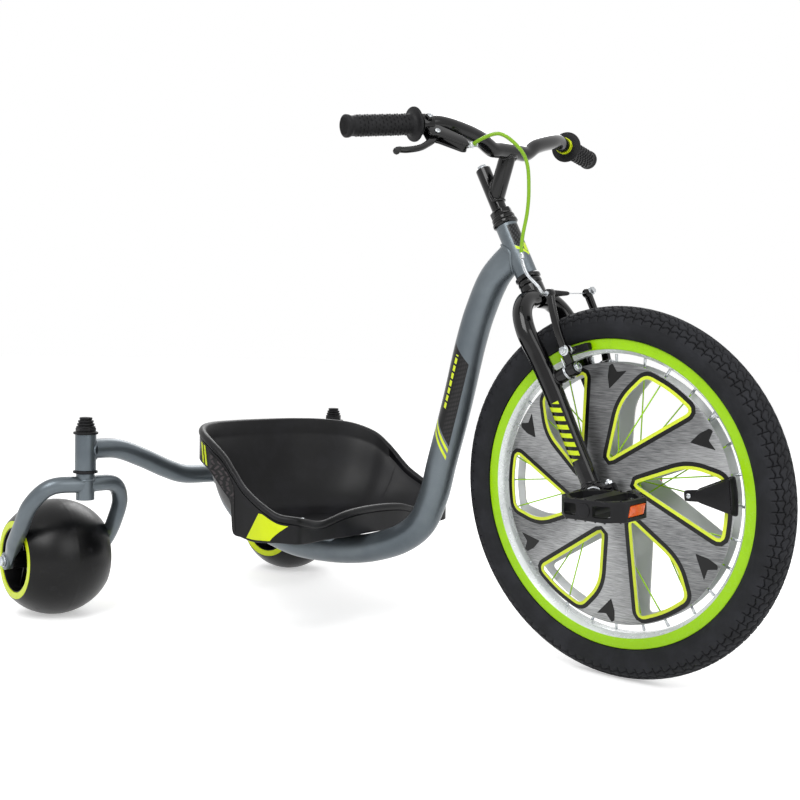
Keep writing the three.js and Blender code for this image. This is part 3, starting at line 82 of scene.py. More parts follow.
def inMetres(points, place):  # local millimetres to metres in the shared frame
    return (np.asarray(points, float) @ place[:3, :3].T + place[:3, 3]) / 1000


# Outlines and paths

def unit(vectors):  # vector, or row of vectors, at length one
    return vectors / np.linalg.norm(vectors, axis=-1, keepdims=True)


def runAlong(path):  # distance from the start at each point of a polyline
    return np.concatenate([[0], np.cumsum(np.linalg.norm(np.diff(path, axis=0), axis=1))])


def ease(t):  # smooth rise from 0 to 1
    return t * t * (3 - 2 * t)


def circle(count):  # cosines and sines at equal steps of a turn
    turn = np.linspace(0, 2 * np.pi, count, endpoint=False)
    return np.cos(turn), np.sin(turn)


def squared(values, power):  # cosines or sines pushed towards a square, sign kept
    return np.sign(values) * np.abs(values) ** power


def rounded(outline, radius, steps=4, closed=True):
    # Each corner becomes a parabola between points one radius back along its two edges
    flat = np.asarray(outline, float)
    before, after = np.roll(flat, 1, axis=0), np.roll(flat, -1, axis=0)
    radii = np.broadcast_to(np.asarray(radius, float), (len(flat),))
    t = np.linspace(0, 1, steps + 1)[:, None]
    made = []
    for k, corner in enumerate(flat):
        lengths = [np.linalg.norm(other - corner) for other in (before[k], after[k])]
        back = min(radii[k], lengths[0] * 0.49, lengths[1] * 0.49)
        if back <= 0 or (not closed and k in (0, len(flat) - 1)):
            made.append(corner[None, :])
            continue
        start, end = [corner + (other - corner) / length * back
                      for other, length in zip((before[k], after[k]), lengths)]
        made.append((1 - t) ** 2 * start + 2 * t * (1 - t) * corner + t ** 2 * end)
    return np.concatenate(made)


def evenly(points, count, closed=False):
    # Points at equal steps along a polyline
    line = np.asarray(points, float)
    if closed:
        line = np.concatenate([line, line[:1]])
    run = runAlong(line)
    at = np.linspace(0, run[-1], count, endpoint=not closed)
    return np.stack([np.interp(at, run, line[:, k]) for k in range(line.shape[1])], axis=1)


def smoothPath(points, count, closed=False):
    # Centripetal Catmull-Rom curve through the points, its knots spaced by the root of the chord
    given = np.asarray(points, float)
    line = np.concatenate([[2 * given[0] - given[1]], given, [2 * given[-1] - given[-2]]])
    if closed:
        line = np.concatenate([given[-1:], given, given[:2]])
    t = np.linspace(0, 1, 40)[:, None]
    runs = []
    for a, b, c, d in zip(line[:-3], line[1:-2], line[2:-1], line[3:]):
        ka, kb, kc = [max(np.linalg.norm(q - p) ** 0.5, 1e-4) for p, q in ((a, b), (b, c), (c, d))]
        into = ((b - a) / ka - (c - a) / (ka + kb) + (c - b) / kb) * kb
        out = ((c - b) / kb - (d - b) / (kb + kc) + (d - c) / kc) * kb
        runs.append(b + into * t + (3 * (c - b) - 2 * into - out) * t ** 2
                    + (2 * (b - c) + into + out) * t ** 3)
    return evenly(np.concatenate(runs), count + closed)[:count]


def frameAlong(path, up=(0, 0, 1)):
    # Two unit vectors across a path, carried along it with the least twist
    along = unit(np.gradient(path, axis=0))
    first = np.cross(along[0], up)
    if np.linalg.norm(first) < 0.05:
        first = np.cross(along[0], (0, 1, 0))
    wide = [unit(first)]
    for step in along[1:]:
        wide.append(unit(wide[-1] - step * (wide[-1] @ step)))
    wide = np.array(wide)
    return along, wide, np.cross(wide, along)


# Patches: each is a pair of vertices and faces, joined later into one piece

def patchFrom(grid, loopRows=False):
    # Quads between neighbours of a grid of points, its columns closed into loops
    rows, cols = grid.shape[:2]
    index = np.arange(rows * cols).reshape(rows, cols)
    down = np.roll(index, -1, axis=0) if loopRows else index[1:]
    index = index if loopRows else index[:-1]
    quads = np.stack([index, np.roll(index, -1, 1), np.roll(down, -1, 1), down], axis=-1)
    return grid.reshape(-1, 3), quads.reshape(-1, 4).tolist()


def loft(rings):
    # Skin through equal rings, closed by one flat face at each end
    grid = np.asarray(rings, float)
    points, faces = patchFrom(grid)
    count = grid.shape[1]
    last = (len(grid) - 1) * count
    return points, faces + [list(range(count))[::-1], [last + k for k in range(count)]]


def lathe(profile, segments=96, axis="y", centre=(0, 0, 0)):
    # Profile of radius and height turned about an axis through the centre
    r, h = np.asarray(profile, float).T
    c, s = [v[None, :] for v in circle(segments)]
    across, other, up = r[:, None] * c, r[:, None] * s, np.repeat(h[:, None], segments, axis=1)
    grid = np.stack({"y": (across, up, other), "z": (across, other, up), "x": (up, across, other)}[axis],
                    axis=-1)
    return patchFrom(grid + np.asarray(centre, float))


def turnedPart(profile, radius=0.8, steps=4, **options):
    # Closed body of revolution from an open profile that starts and ends on the axis, edges softened
    return lathe(rounded(profile, radius, steps, closed=False), **options)


def turnedRing(profile, radius=0.8, **options):
    # Ring of revolution from a closed profile, edges softened
    soft = rounded(profile, radius, 4)
    return lathe(np.concatenate([soft, soft[:1]]), **options)


def discPart(outer, low, high, radius=0.8, **options):  # turned disc of a square section
    return turnedPart([(0, low), (outer, low), (outer, high), (0, high)], radius, **options)


def ringPart(inner, outer, low, high, radius=0.8, **options):  # turned ring of a square section
    return turnedRing([(inner, low), (outer, low), (outer, high), (inner, high)], radius, **options)


def sweep(path, radius, segments=28, flat=1, up=(0, 0, 1)):
    # Round section of a radius, or one for each step, carried along a path; flat squeezes it one way
    wide, tall = frameAlong(path, up)[1:]
    size = np.broadcast_to(np.asarray(radius, float), (len(path),))[:, None, None]
    flat = np.broadcast_to(np.asarray(flat, float), (len(path),))[:, None, None]
    c, s = [v[None, :, None] for v in circle(segments)]
    return loft(path[:, None, :] + size * (c * wide[:, None, :] + flat * s * tall[:, None, :]))


def tubeEnd(path, radius, edge=1.0):
    # Radii along a path that round off both its ends
    run = runAlong(path)
    near = np.clip(np.minimum(run, run[-1] - run) / edge, 0, 1)
    return radius - edge * (1 - np.sqrt(1 - (1 - near) ** 2))


def slab(outline, low, high, edge=0.8, steps=3, axes=(0, 1, 2)):
    # Outline extruded along the third axis, its rims rounded by insets that follow a quarter circle
    low, high = sorted((low, high))
    flat = np.asarray(outline, float)
    ahead, behind = np.roll(flat, -1, axis=0) - flat, flat - np.roll(flat, 1, axis=0)
    ahead /= np.maximum(np.linalg.norm(ahead, axis=1), 1e-9)[:, None]
    behind /= np.maximum(np.linalg.norm(behind, axis=1), 1e-9)[:, None]
    mean = ahead + behind
    mean /= np.maximum(np.linalg.norm(mean, axis=1), 1e-9)[:, None]
    inward = np.stack([-mean[:, 1], mean[:, 0]], axis=1)
    area = np.sum(flat[:, 0] * np.roll(flat[:, 1], -1) - np.roll(flat[:, 0], -1) * flat[:, 1])
    inward *= 1 if area > 0 else -1
    turn = np.linspace(0, np.pi / 2, steps + 1)
    levels = [(low + edge * (1 - math.sin(t)), edge * (1 - math.cos(t))) for t in turn[::-1]]
    levels += [(high - edge * (1 - math.sin(t)), edge * (1 - math.cos(t))) for t in turn]
    rings = []
    for height, inset in levels:
        ring = np.zeros((len(flat), 3))
        ring[:, axes[0]], ring[:, axes[1]] = (flat + inward * inset).T
        ring[:, axes[2]] = height
        rings.append(ring)
    return loft(rings)


def rod(start, end, radius, endRadius=None, segments=24, edge=0.6):
    # Straight bar or cone with softened ends
    a, b = np.asarray(start, float), np.asarray(end, float)
    t = np.array([0, 0.3, 1]) * edge / np.linalg.norm(b - a)
    share = np.concatenate([t, [0.5], 1 - t[::-1]])
    trim = edge * np.array([1, 0.29, 0, 0, 0, 0.29, 1])
    return sweep(a + (b - a) * share[:, None], radius + ((endRadius or radius) - radius) * share - trim,
                 segments)


def rodX(low, high, at, *shape):  # rod along X at a Y and a Z
    return rod((low, *at), (high, *at), *shape)


def rodY(low, high, at, *shape):  # rod along Y at an X and a Z
    return rod((at[0], low, at[1]), (at[0], high, at[1]), *shape)


def rodZ(low, high, at, *shape):  # rod along Z at an X and a Y
    return rod((*at, low), (*at, high), *shape)


def bead(path, radius, segments=10):
    # Closed ring of weld, a round section carried round a closed path with ripples along it
    count = 96
    loop = evenly(path, count, closed=True)
    along = unit(np.roll(loop, -1, axis=0) - np.roll(loop, 1, axis=0))
    out = loop - loop.mean(axis=0)
    out = unit(out - along * np.sum(out * along, axis=1)[:, None])
    side = np.cross(along, out)
    size = radius * (1 + 0.1 * np.abs(np.sin(np.arange(count) * np.pi / 2)))[:, None, None]
    c, s = [v[None, :, None] for v in circle(segments)]
    return patchFrom(loop[:, None, :] + size * (c * out[:, None, :] + s * side[:, None, :]), loopRows=True)


def meet(start, along, centre, axis, radius):
    # First point ahead on a line that lies at a radius from an axis
    ray = along - axis * (along @ axis)
    away = start - centre
    away -= axis * (away @ axis)
    a, b, c = ray @ ray, 2 * (ray @ away), away @ away - radius ** 2
    return start + along * (-b - math.sqrt(max(b * b - 4 * a * c, 0))) / (2 * a)


def shifted(patch, place):  # patch carried into another local frame
    return patch[0] @ place[:3, :3].T + place[:3, 3], patch[1]


def flipped(patch, side, shift=(0, 0, 0)):  # patch with its Y times the side, then moved
    return patch[0] * [1, side, 1] + shift, patch[1]


def shadeMesh(mesh, sharp):  # smooth but for edges sharper than an angle
    mesh.polygons.foreach_set("use_smooth", [True] * len(mesh.polygons))
    mesh.set_sharp_from_angle(angle=math.radians(sharp))


def makePiece(name, patches, body, finish, node=None, place=None, sharp=38):
    # One object from its patches: doubles merged, every shell turned to face outwards, riding on its
    # body; a piece with a node stands in for that CAD node
    place = placeOf[body] if place is None else place
    points, faces, start = [], [], 0
    for vertices, quads in patches:
        points.append(inMetres(vertices, place))
        faces += [[start + k for k in face] for face in quads]
        start += len(vertices)
    mesh = bpy.data.meshes.new(name)
    mesh.from_pydata(np.concatenate(points).tolist(), [], faces)
    tidy = bmesh.new()
    tidy.from_mesh(mesh)
    bmesh.ops.remove_doubles(tidy, verts=tidy.verts, dist=2e-6)
    bmesh.ops.dissolve_degenerate(tidy, edges=tidy.edges, dist=1e-7)
    bmesh.ops.recalc_face_normals(tidy, faces=tidy.faces)
    tidy.to_mesh(mesh)
    tidy.free()
    shadeMesh(mesh, sharp)
    made = bpy.data.objects.new(name, mesh)
    bpy.context.scene.collection.objects.link(made)
    mesh.materials.append(finishes.get(finish))
    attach(made, body)
    if node:
        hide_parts(node)
    return made


def carve(piece, cuts, place, mixed=False):
    # Piece less its cuts, each a list of patches, worked out exactly and applied; a piece made of parts
    # that run into each other is mixed
    cutters = [makePiece("cutter", patches, "frame", None, place=place) for patches in cuts]
    for cutter in cutters:
        change = piece.modifiers.new("carve", "BOOLEAN")
        change.operation = "DIFFERENCE"
        change.solver = "EXACT"
        change.object = cutter
        change.use_self = mixed
    settled = bpy.data.meshes.new_from_object(piece.evaluated_get(bpy.context.evaluated_depsgraph_get()))
    piece.modifiers.clear()
    old = piece.data
    piece.data = settled
    bpy.data.meshes.remove(old)
    for cutter in cutters:
        bpy.data.objects.remove(cutter)
    shadeMesh(settled, 38)


# Materials
for old in list(bpy.data.materials):  # every node gets a finish made here
    bpy.data.materials.remove(old)
finishes = {}
plainFinish = {  # material slot: the finish of its CAD nodes
    "frame_paint": "satin_grey_paint", "black_paint": "gloss_black", "lime_paint": "lime_enamel",
    "brushed_cover": "brushed_alloy", "bright_steel": "bright_zinc", "tyre_rubber": "tyre_rubber",
    "grip_rubber": "soft_rubber", "seat_plastic": "moulded_black", "black_plastic": "moulded_black",
    "ball_plastic": "ball_black", "lime_housing": "lime_plastic",
}
slotFor = {finish: slot for slot, finish in plainFinish.items()}
slotFor.update({
    "fork_paint": "black_paint", "main_tube_paint": "frame_paint", "head_tube_paint": "frame_paint",
    "rim_lime_and_bright": "lime_paint", "black_film": "brushed_cover", "yellow_green_film": "brushed_cover",
    "amber_reflector": "black_plastic", "side_pattern_film": "seat_plastic", "stripe_paint": "seat_plastic",
})




class Wire:  # an output socket that takes part in Python sums
    def __init__(self, shade, socket):
        self.shade, self.socket = shade, socket

    def __add__(self, other): return self.shade.maths("ADD", self, other)
    def __radd__(self, other): return self.shade.maths("ADD", other, self)
    def __sub__(self, other): return self.shade.maths("SUBTRACT", self, other)
    def __rsub__(self, other): return self.shade.maths("SUBTRACT", other, self)
    def __mul__(self, other): return self.shade.maths("MULTIPLY", self, other)
    def __rmul__(self, other): return self.shade.maths("MULTIPLY", other, self)
    def __truediv__(self, other): return self.shade.maths("DIVIDE", self, other)
    def __abs__(self): return self.shade.maths("ABSOLUTE", self)


class Shade:  # the nodes of one material, or of the world
    def __init__(self, name, owners=None):
        self.material = (bpy.data.materials if owners is None else owners).new(name)
        self.material.use_nodes = True
        self.tree = self.material.node_tree
        self.tree.nodes.clear()

    def node(self, kind, inputs=None, out=0, **settings):
        made = self.tree.nodes.new(kind)
        for key, value in settings.items():
            setattr(made, key, value)
        for key, value in (inputs or {}).items():
            if isinstance(value, Wire):
                self.tree.links.new(value.socket, made.inputs[key])
            else:
                made.inputs[key].default_value = value
        return Wire(self, made.outputs[out]) if len(made.outputs) else None

    def maths(self, operation, *values):
        return self.node("ShaderNodeMath", dict(enumerate(values)), operation=operation)

    def sine(self, value):
        return self.maths("SINE", value)

    def least(self, value):  # value, but no more than 1
        return self.maths("MINIMUM", value, 1)

    def reach(self, a, b):  # root of the sum of two squares
        return self.maths("SQRT", a * a + b * b)

    def step(self, value, low, high):  # smooth rise from 0 at low to 1 at high
        return self.node("ShaderNodeMapRange", {
            "Value": value, "From Min": low, "From Max": high, "To Min": 0.0, "To Max": 1.0},
            interpolation_type="SMOOTHSTEP")

    def drop(self, value, low, high):  # smooth fall from 1 at low to 0 at high
        return 1 - self.step(value, low, high)

    def mix(self, mask, one, other):  # colour one where the mask is 0, the other where it is 1
        return self.node("ShaderNodeMix", {0: mask, 6: one, 7: other}, out=2, data_type="RGBA")

    def points(self, scale=(1, 1, 1)):  # Object coordinates, scaled
        spot = self.node("ShaderNodeTexCoord", out=3)
        return self.node("ShaderNodeMapping", {"Vector": spot, "Scale": scale})

    def local(self, place):  # x, y and z in a local frame, in millimetres
        spot = self.node("ShaderNodeTexCoord", out=3)
        made = []
        for axis in place[:3, :3].T:
            along = self.node("ShaderNodeVectorMath", {0: spot, 1: tuple(float(v) * 1000 for v in axis)},
                              out=1, operation="DOT_PRODUCT")
            made.append(along - float(axis @ place[:3, 3]))
        return made

    def noise(self, scale, detail=3.0, roughness=0.55, stretch=(1, 1, 1)):
        return self.node("ShaderNodeTexNoise", {
            "Vector": self.points(stretch), "Scale": scale, "Detail": detail, "Roughness": roughness})

    def speckle(self, scale):  # distance to the nearest of many scattered points
        return self.node("ShaderNodeTexVoronoi", {"Vector": self.points(), "Scale": scale})

    def seen(self):  # 1 for what the camera sees, straight, mirrored or through something clear
        camera, glossy, clear = [self.node("ShaderNodeLightPath", out=name) for name in (
            "Is Camera Ray", "Is Glossy Ray", "Is Transmission Ray")]
        return self.least(camera + glossy + clear)

    def bump(self, height, strength, distance):
        return self.node("ShaderNodeBump", {"Strength": strength, "Distance": distance, "Height": height})

    def finish(self, base, roughness, metallic, coat, coatRoughness, normal):
        shader = self.node("ShaderNodeBsdfPrincipled", {
            "Base Color": base, "Roughness": roughness, "Metallic": metallic, "Coat Weight": coat,
            "Coat Roughness": coatRoughness, "Coat IOR": 1.3, "IOR": 1.3, "Normal": normal})
        self.node("ShaderNodeOutputMaterial", {"Surface": shader})
        finishes[self.material.name] = self.material


def colour(r, g, b):  # colour of 0 to 255 parts as the linear values that nodes take
    return tuple((v / 255 / 12.92) if v <= 10 else ((v / 255 + 0.055) / 1.055) ** 2.4
                 for v in (r, g, b)) + (1.0,)


lime = (150, 202, 4)
plainLooks = [  # name, blotch noise, its step and share, both tones, roughness with its gain and what
    # drives it, metal, coat and its roughness, grain, bump's strength and depth
    ("gloss_black", (38, 5), (0.5, 0.78, 1), (5, 5, 6), (17, 18, 19), (0.13, 0.14, "mask"), (0, 0.6, 0.05),
     (420, 2), (0.1, 0.0004)),
    ("lime_enamel", (60, 6, 0.7, (1, 1, 3)), (0.56, 0.74, 0.35), lime, (122, 172, 8), (0.24, 0.2, "mask"),
     (0, 0.4, 0.1), (300, 2), (0.08, 0.0004)),
    ("black_film", (120, 4), (0.55, 0.8, 1), (7, 7, 8), (20, 20, 21), (0.3, 0.15, "mask"), (0, 0.3, 0.15),
     (260, 2), (0.06, 0.0003)),
    ("yellow_green_film", (70, 4), (0.4, 0.75, 0.4), (206, 220, 60), (186, 202, 48), (0.34, 0.1, "noise"),
     (0, 0.3, 0.2), "blotch", (0.05, 0.0003)),
    ("bright_zinc", (130, 4), (0.35, 0.7, 1), (168, 172, 176), (206, 209, 211), (0.2, 0.14, "noise"),
     (0.95, 0, 0.1), (420, 3), (0.1, 0.0003)),
    ("soft_rubber", (55, 5), (0.52, 0.78, 1), (14, 14, 16), (34, 34, 36), (0.52, 0.16, "mask"), (0, 0, 0.1),
     (1500,), (0.3, 0.0004)),
    ("moulded_black", (24, 4), (0.4, 0.7, 1), (10, 10, 12), (20, 20, 23), (0.36, 0.16, "noise"), (0, 0, 0.1),
     (1300, 2), (0.22, 0.0004)),
    ("ball_black", (45, 6, 0.65), (0.54, 0.74, 1), (8, 8, 9), (25, 25, 27), (0.3, 0.2, "mask"),
     (0, 0.12, 0.25), (620,), (0.16, 0.0006)),
    ("lime_plastic", (180, 3), (0.3, 0.8, 0.3), (120, 162, 28), (104, 148, 20), (0.28, 0.12, "noise"),
     (0, 0.3, 0.12), "blotch", (0.08, 0.0003)),
    ("stripe_paint", (90, 4), (0.4, 0.8, 0.4), (196, 212, 14), (176, 196, 10), (0.32, 0.1, "noise"),
     (0, 0.2, 0.2), (420, 2), (0.06, 0.0003)),
]
for name, spots, (low, high, share), *tones, (rough, gain, driver), coat, grain, relief in plainLooks:
    # Two tones in soft blotches that also change the roughness, over a grain of noise or of speckles
    s = Shade(name)
    blotch = s.noise(*spots)
    mask = s.step(blotch, low, high)
    fine = blotch if grain == "blotch" else s.noise(*grain) if len(grain) > 1 else s.speckle(*grain)
    blend = mask if share == 1 else mask * share
    one, other = [colour(*tone) for tone in tones]
    s.finish(s.mix(blend, one, other), rough + gain * (mask if driver == "mask" else blotch), *coat,
             s.bump(fine, *relief))


def greyBase(s):  # metallic grey: fine flakes over a cloudy tone
    cloud = s.noise(9, 4)
    flake = s.speckle(2600)
    base = s.mix(s.step(cloud, 0.3, 0.7), colour(92, 100, 106), colour(114, 122, 127))
    return s.mix(s.step(flake, 0.1, 0.6) * 0.28, base, colour(62, 69, 75)), cloud


def greyPaint(s, base, cloud, film=None):  # satin grey with light orange peel, and film where that is 1
    rough, metallic, height = 0.33 + 0.1 * cloud, 0.7, s.noise(330, 2)
    if film is not None:
        rough, metallic, height = rough * (1 - film) + 0.3 * film, 0.7 * (1 - film), height + film * 0.5
    s.finish(base, rough, metallic, 0.35, 0.2, s.bump(height, 0.12, 0.0004))


def rimPaint():  # lime sides and a bright bed below them, told apart by the distance from the axle
    s = Shade("rim_lime_and_bright")
    x, z = s.local(wheel)[::2]
    r = s.reach(x, z)
    bed = s.drop(r, 195.6, 196.2)
    wear = s.step(s.noise(90, 5), 0.5, 0.75)
    ring = s.step(s.sine(r * 5.5), 0.2, 0.9) * 0.05
    base = s.mix(bed, s.mix(wear * 0.3 + ring, colour(*lime), colour(118, 168, 4)), colour(222, 226, 227))
    s.finish(base, 0.26 + 0.16 * wear, 0.35 * bed, 0.3, 0.12, s.bump(ring + wear * 0.3, 0.15, 0.0005))


def brushedCover():  # brushed alloy: long fine scratches, a painted fan of sheen that is painted highlight, and a paler inner side that is painted reflection
    s = Shade("brushed_alloy")
    x, y, z = s.local(wheel)
    turn = s.maths("ARCTAN2", z, x)
    # painted highlight: fans of brighter colour round the wheel stand in for the sheen that light gives
    # brushed metal
    painted_sheen = s.step(s.sine(turn * 3 + 0.9 + 0.5 * s.sine(turn * 2)), -0.5, 1.0)
    # painted reflection: the inner side is made paler and less metallic, standing in for the bright
    # reflections it shows while it sits in shade between the covers
    inside = s.drop(abs(y) - 34.2 + 0.1359 * s.reach(x, z), 0.5, 0.9)
    lines = s.noise(1, 4, 0.6, (55, 55, 1300))
    streak = s.step(lines, 0.3, 0.72)
    base = s.mix(streak, colour(78, 79, 80), colour(146, 147, 148))
    base = s.mix(s.step(s.noise(6, 3), 0.35, 0.7) * 0.4, base, colour(98, 98, 99))
    base = s.mix(painted_sheen * 0.6, base, s.mix(streak, colour(150, 151, 152), colour(206, 207, 208)))
    base = s.mix(inside * 0.9, base, colour(208, 210, 211))
    s.finish(base, 0.3 + 0.16 * streak, 0.85 - 0.55 * inside, 0.25, 0.2, s.bump(lines, 0.22, 0.0003))


def tyreRubber():  # rubber: dull crown dust, fine ribs round the sidewall, and painted shade that darkens the grooves
    s = Shade("tyre_rubber")
    x, y, z = s.local(wheel)
    out = s.reach(x, z) - 229
    side = s.maths("ARCTAN2", abs(y), out)
    ribs = s.sine(side * 150) * s.step(side, 1.45, 1.55)
    # painted shade: the sunk floors of the tread grooves, darkened in the mix below as if shade fell in them
    groove = s.drop(s.reach(out, y), 22.9, 24.4)
    cloud = s.noise(30, 4)
    base = s.mix(s.step(cloud, 0.35, 0.75), colour(22, 23, 26), colour(36, 37, 41))
    base = s.mix(groove * s.step(1.42 - side, 0, 0.1), base, colour(6, 6, 8))
    height = s.noise(900, 3) * 0.35 + ribs * 0.3
    s.finish(base, 0.62 + 0.16 * cloud, 0.0, 0.0, 0.1, s.bump(height, 0.35, 0.0006))


def amber():  # amber reflector: a grid of tiny prisms under a clear face
    s = Shade("amber_reflector")
    y, z = s.local(wheel)[1:]
    cells = abs(s.sine(y * 2.2)) * abs(s.sine(z * 2.2))
    base = s.mix(s.step(cells, 0.15, 0.75), colour(180, 56, 2), colour(236, 104, 8))
    s.finish(base, 0.14 + 0.1 * cells, 0.0, 0.9, 0.04, s.bump(cells, 0.3, 0.0008))


greyShade = Shade("satin_grey_paint")
greyPaint(greyShade, *greyBase(greyShade))
rimPaint()
brushedCover()
tyreRubber()
amber()
print("finishes made,", len(finishes))

# Front wheel

tyreSize = Sizes(
    middle=228.85, section=25, sweep=135, bead=12.7, blocks=108, grooveDepth=1.9, columns=1080,
)


def makeTyre():
    # Round section turned about the axle; grooves sink it where zigzag and slanted bands of the
    # unrolled surface meet, u along the tread in block pitches and w across it in millimetres
    size = tyreSize
    turn = np.linspace(0, 2 * np.pi, size.columns, endpoint=False)[None, :]
    tread = np.radians(np.linspace(-82, 82, 67))
    wall = np.radians(np.linspace(84, size.sweep, 9))
    angle = np.concatenate([-wall[::-1], tread, wall])[:, None]
    w = size.section * angle
    u = turn / (2 * np.pi) * size.blocks

    def wave(value):  # triangle wave of 0 to 1
        return np.abs((value % 1) * 2 - 1)

    def band(distance, half, soft=0.5):  # 1 inside a groove, 0 outside, smooth walls
        t = np.clip((half + soft - np.abs(distance)) / soft, 0, 1)
        return ease(t)

    pitch = 2 * np.pi * 254 / size.blocks
    centre = band(w - 2.6 * (wave(u) - 0.5) * 2, 0.55)
    inner = band(np.abs(w) - 9 - 2.4 * (wave(u + 0.25 * np.sign(w)) - 0.5) * 2, 0.6)
    outer = band(np.abs(w) - 18 - 1.8 * (wave(u + 0.5) - 0.5) * 2, 0.55)
    slant = (u + np.abs(w) * 0.052 + 0.13 * np.sign(w)) % 1
    cross = band((slant - 0.5) * pitch, 0.6) * (np.abs(w) > 2) * (np.abs(w) < 18.5)
    shoulder = band(((u + 0.3) % 1 - 0.5) * pitch, 0.9) * (np.abs(w) >= 18) * (np.abs(w) < 34)
    rim = band(np.abs(w) - 26.5 - 1.6 * (wave(u) - 0.5) * 2, 0.5)
    groove = np.maximum.reduce([centre, inner, outer, cross, shoulder, rim])
    fade = np.clip((35 - np.abs(w)) / 2, 0, 1)
    ribs = 0.22 * np.sin(np.abs(np.degrees(angle)) * 1.5) * (np.abs(w) > 38)
    radius = size.section - size.grooveDepth * groove * fade + ribs - 0.4 * (np.abs(w) > 35)
    outerSkin = np.stack([
        (size.middle + radius * np.cos(angle)) * np.cos(turn), radius * np.sin(angle) * np.ones_like(turn),
        (size.middle + radius * np.cos(angle)) * np.sin(turn)], axis=-1)
    lip = size.middle + size.section * math.cos(math.radians(size.sweep))
    close = np.array([[lip, size.bead], [lip - 9, size.bead], [lip - 9, -size.bead], [lip, -size.bead]])
    inside = np.stack([close[:, :1] * np.cos(turn), np.repeat(close[:, 1:], size.columns, 1),
                       close[:, :1] * np.sin(turn)], axis=-1)
    grid = np.concatenate([outerSkin, inside])
    makePiece("front_tyre", [patchFrom(grid, loopRows=True)], "front_wheel", "tyre_rubber", "tyre", sharp=55)


rimSize = Sizes(radius=210.7, half=15.5, flange=2.5, track=14.3, well=13.2, bed=20.2, bedHalf=7)


def makeRim():
    # Closed profile turned about the axle
    size = rimSize
    r, half = size.radius, size.half
    profile = [
        (r - size.well, 0), (r - size.well, size.bedHalf),
        (r - size.well + size.flange, half - size.flange), (r - 0.4, half - size.flange),
        (r, half), (r - size.track, half), (r - size.bed, size.bedHalf)]
    profile += [(a, -b) for a, b in profile[:0:-1]]
    valve = [rodX(188, 163, (0, 0), 3.1, 2.9, 16), rodX(189.6, 186.4, (0, 0), 5.6, 5.6, 12),
             rodX(163.5, 154, (0, 0), 3.9, 3.6, 16)]
    makePiece("painted_rim", [turnedRing(profile, 1.0, segments=224)], "front_wheel",
              "rim_lime_and_bright", "rim")
    makePiece("valve", [shifted(part, turnedY(-38)) for part in valve], "front_wheel", "bright_zinc")


hubSize = Sizes(
    barrel=15, half=38, flange=25, seat=23, flangeThick=3, bore=8.6,
    spokes=28, hole=22, rimEnd=189.2, spoke=1.0, crossings=2,
)


def makeHub():
    # Hub shell turned about the axle, and spokes that cross twice from flange to rim with a nipple each
    size = hubSize
    inn, out = size.seat - size.flangeThick / 2, size.seat + size.flangeThick / 2
    half = [(size.bore, size.half), (size.barrel, size.half), (size.barrel, out),
            (size.flange, out), (size.flange, inn), (size.barrel, inn)]
    shell = turnedRing(half + [(r, -y) for r, y in half[::-1]], 0.8, segments=96)
    spokes, nipples = [], []
    for k in range(size.spokes):
        side = 1 if k % 2 == 0 else -1
        lead = 1 if (k // 2) % 2 == 0 else -1
        rimTurn = 2 * math.pi * k / size.spokes
        hubTurn = rimTurn + lead * size.crossings * 4 * math.pi / size.spokes
        face = side * (size.seat + lead * (size.flangeThick / 2 + size.spoke * 0.4))
        start = np.array([size.hole * math.cos(hubTurn), face, size.hole * math.sin(hubTurn)])
        end = np.array([size.rimEnd * math.cos(rimTurn), side * 2, size.rimEnd * math.sin(rimTurn)])
        spokes.append(rod(start, end, size.spoke, size.spoke, 10, 0.3))
        spokes.append(rod(start - [0, 1.6 * side, 0], start + [0, 1.6 * side, 0], 1.7, 1.7, 10, 0.4))
        inward = unit(start - end)
        nipples.append(rod(end + inward * 0.2, end + inward * 12, 2.1, 1.8, 12, 0.5))
    makePiece("hub_and_spokes", [shell] + spokes, "front_wheel", "lime_enamel", "spoked_hub")
    makePiece("spoke_nipples", nipples, "front_wheel", "bright_zinc")


coverSize = Sizes(
    radius=178, bore=15.4, thick=1.5, edge=10, dish=22.1, windows=6, turn=45,
    corners=((50, 39), (128, 37), (168, 27), (168, 13.5), (168, 0)),  # radius and angle
    rounding=(6, 22, 9, 400, 9), yellow=(0, 4.4), black=(4.4, 10.2), film=0.25,
    mark=[(143, 3), (168, -22), (166, -7), (177, 1), (174, 6), (160, 7)],  # radius and offset
    markAngles=(89.7, 32.3, -27.6, -90.7, -147.6, 150.2),
)


def coverReach(r):  # inner face of the cone, from the wheel's middle
    size = coverSize
    return size.edge + size.dish * (size.radius - r) / (size.radius - size.bore)


def windowOutline(k):
    # Corners of one window, rounded, as even points
    size = coverSize
    turn = math.radians(size.turn - 360 / size.windows * k)
    corners = [(r * math.cos(turn + math.radians(a)), r * math.sin(turn + math.radians(a)))
               for r, a in size.corners]
    return evenly(rounded(corners, size.rounding, 8), 110, closed=True)


def outset(loop, by):
    # Closed outline moved out by a distance along its normals
    ahead = unit(np.roll(loop, -1, axis=0) - np.roll(loop, 1, axis=0))
    out = np.stack([ahead[:, 1], -ahead[:, 0]], axis=1)
    middle = loop.mean(axis=0)
    if np.sum((loop - middle) * out) < 0:
        out = -out
    return loop + out * by


def upright(flat, y):  # plan points stood up in the wheel's plane at a reach
    return np.stack([flat[:, 0], np.broadcast_to(y, len(flat)), flat[:, 1]], axis=1)


def onCone(flat, side, lift):  # plan points laid on the cover's outer face
    return upright(flat, side * (coverReach(np.linalg.norm(flat, axis=1)) + coverSize.thick + lift))


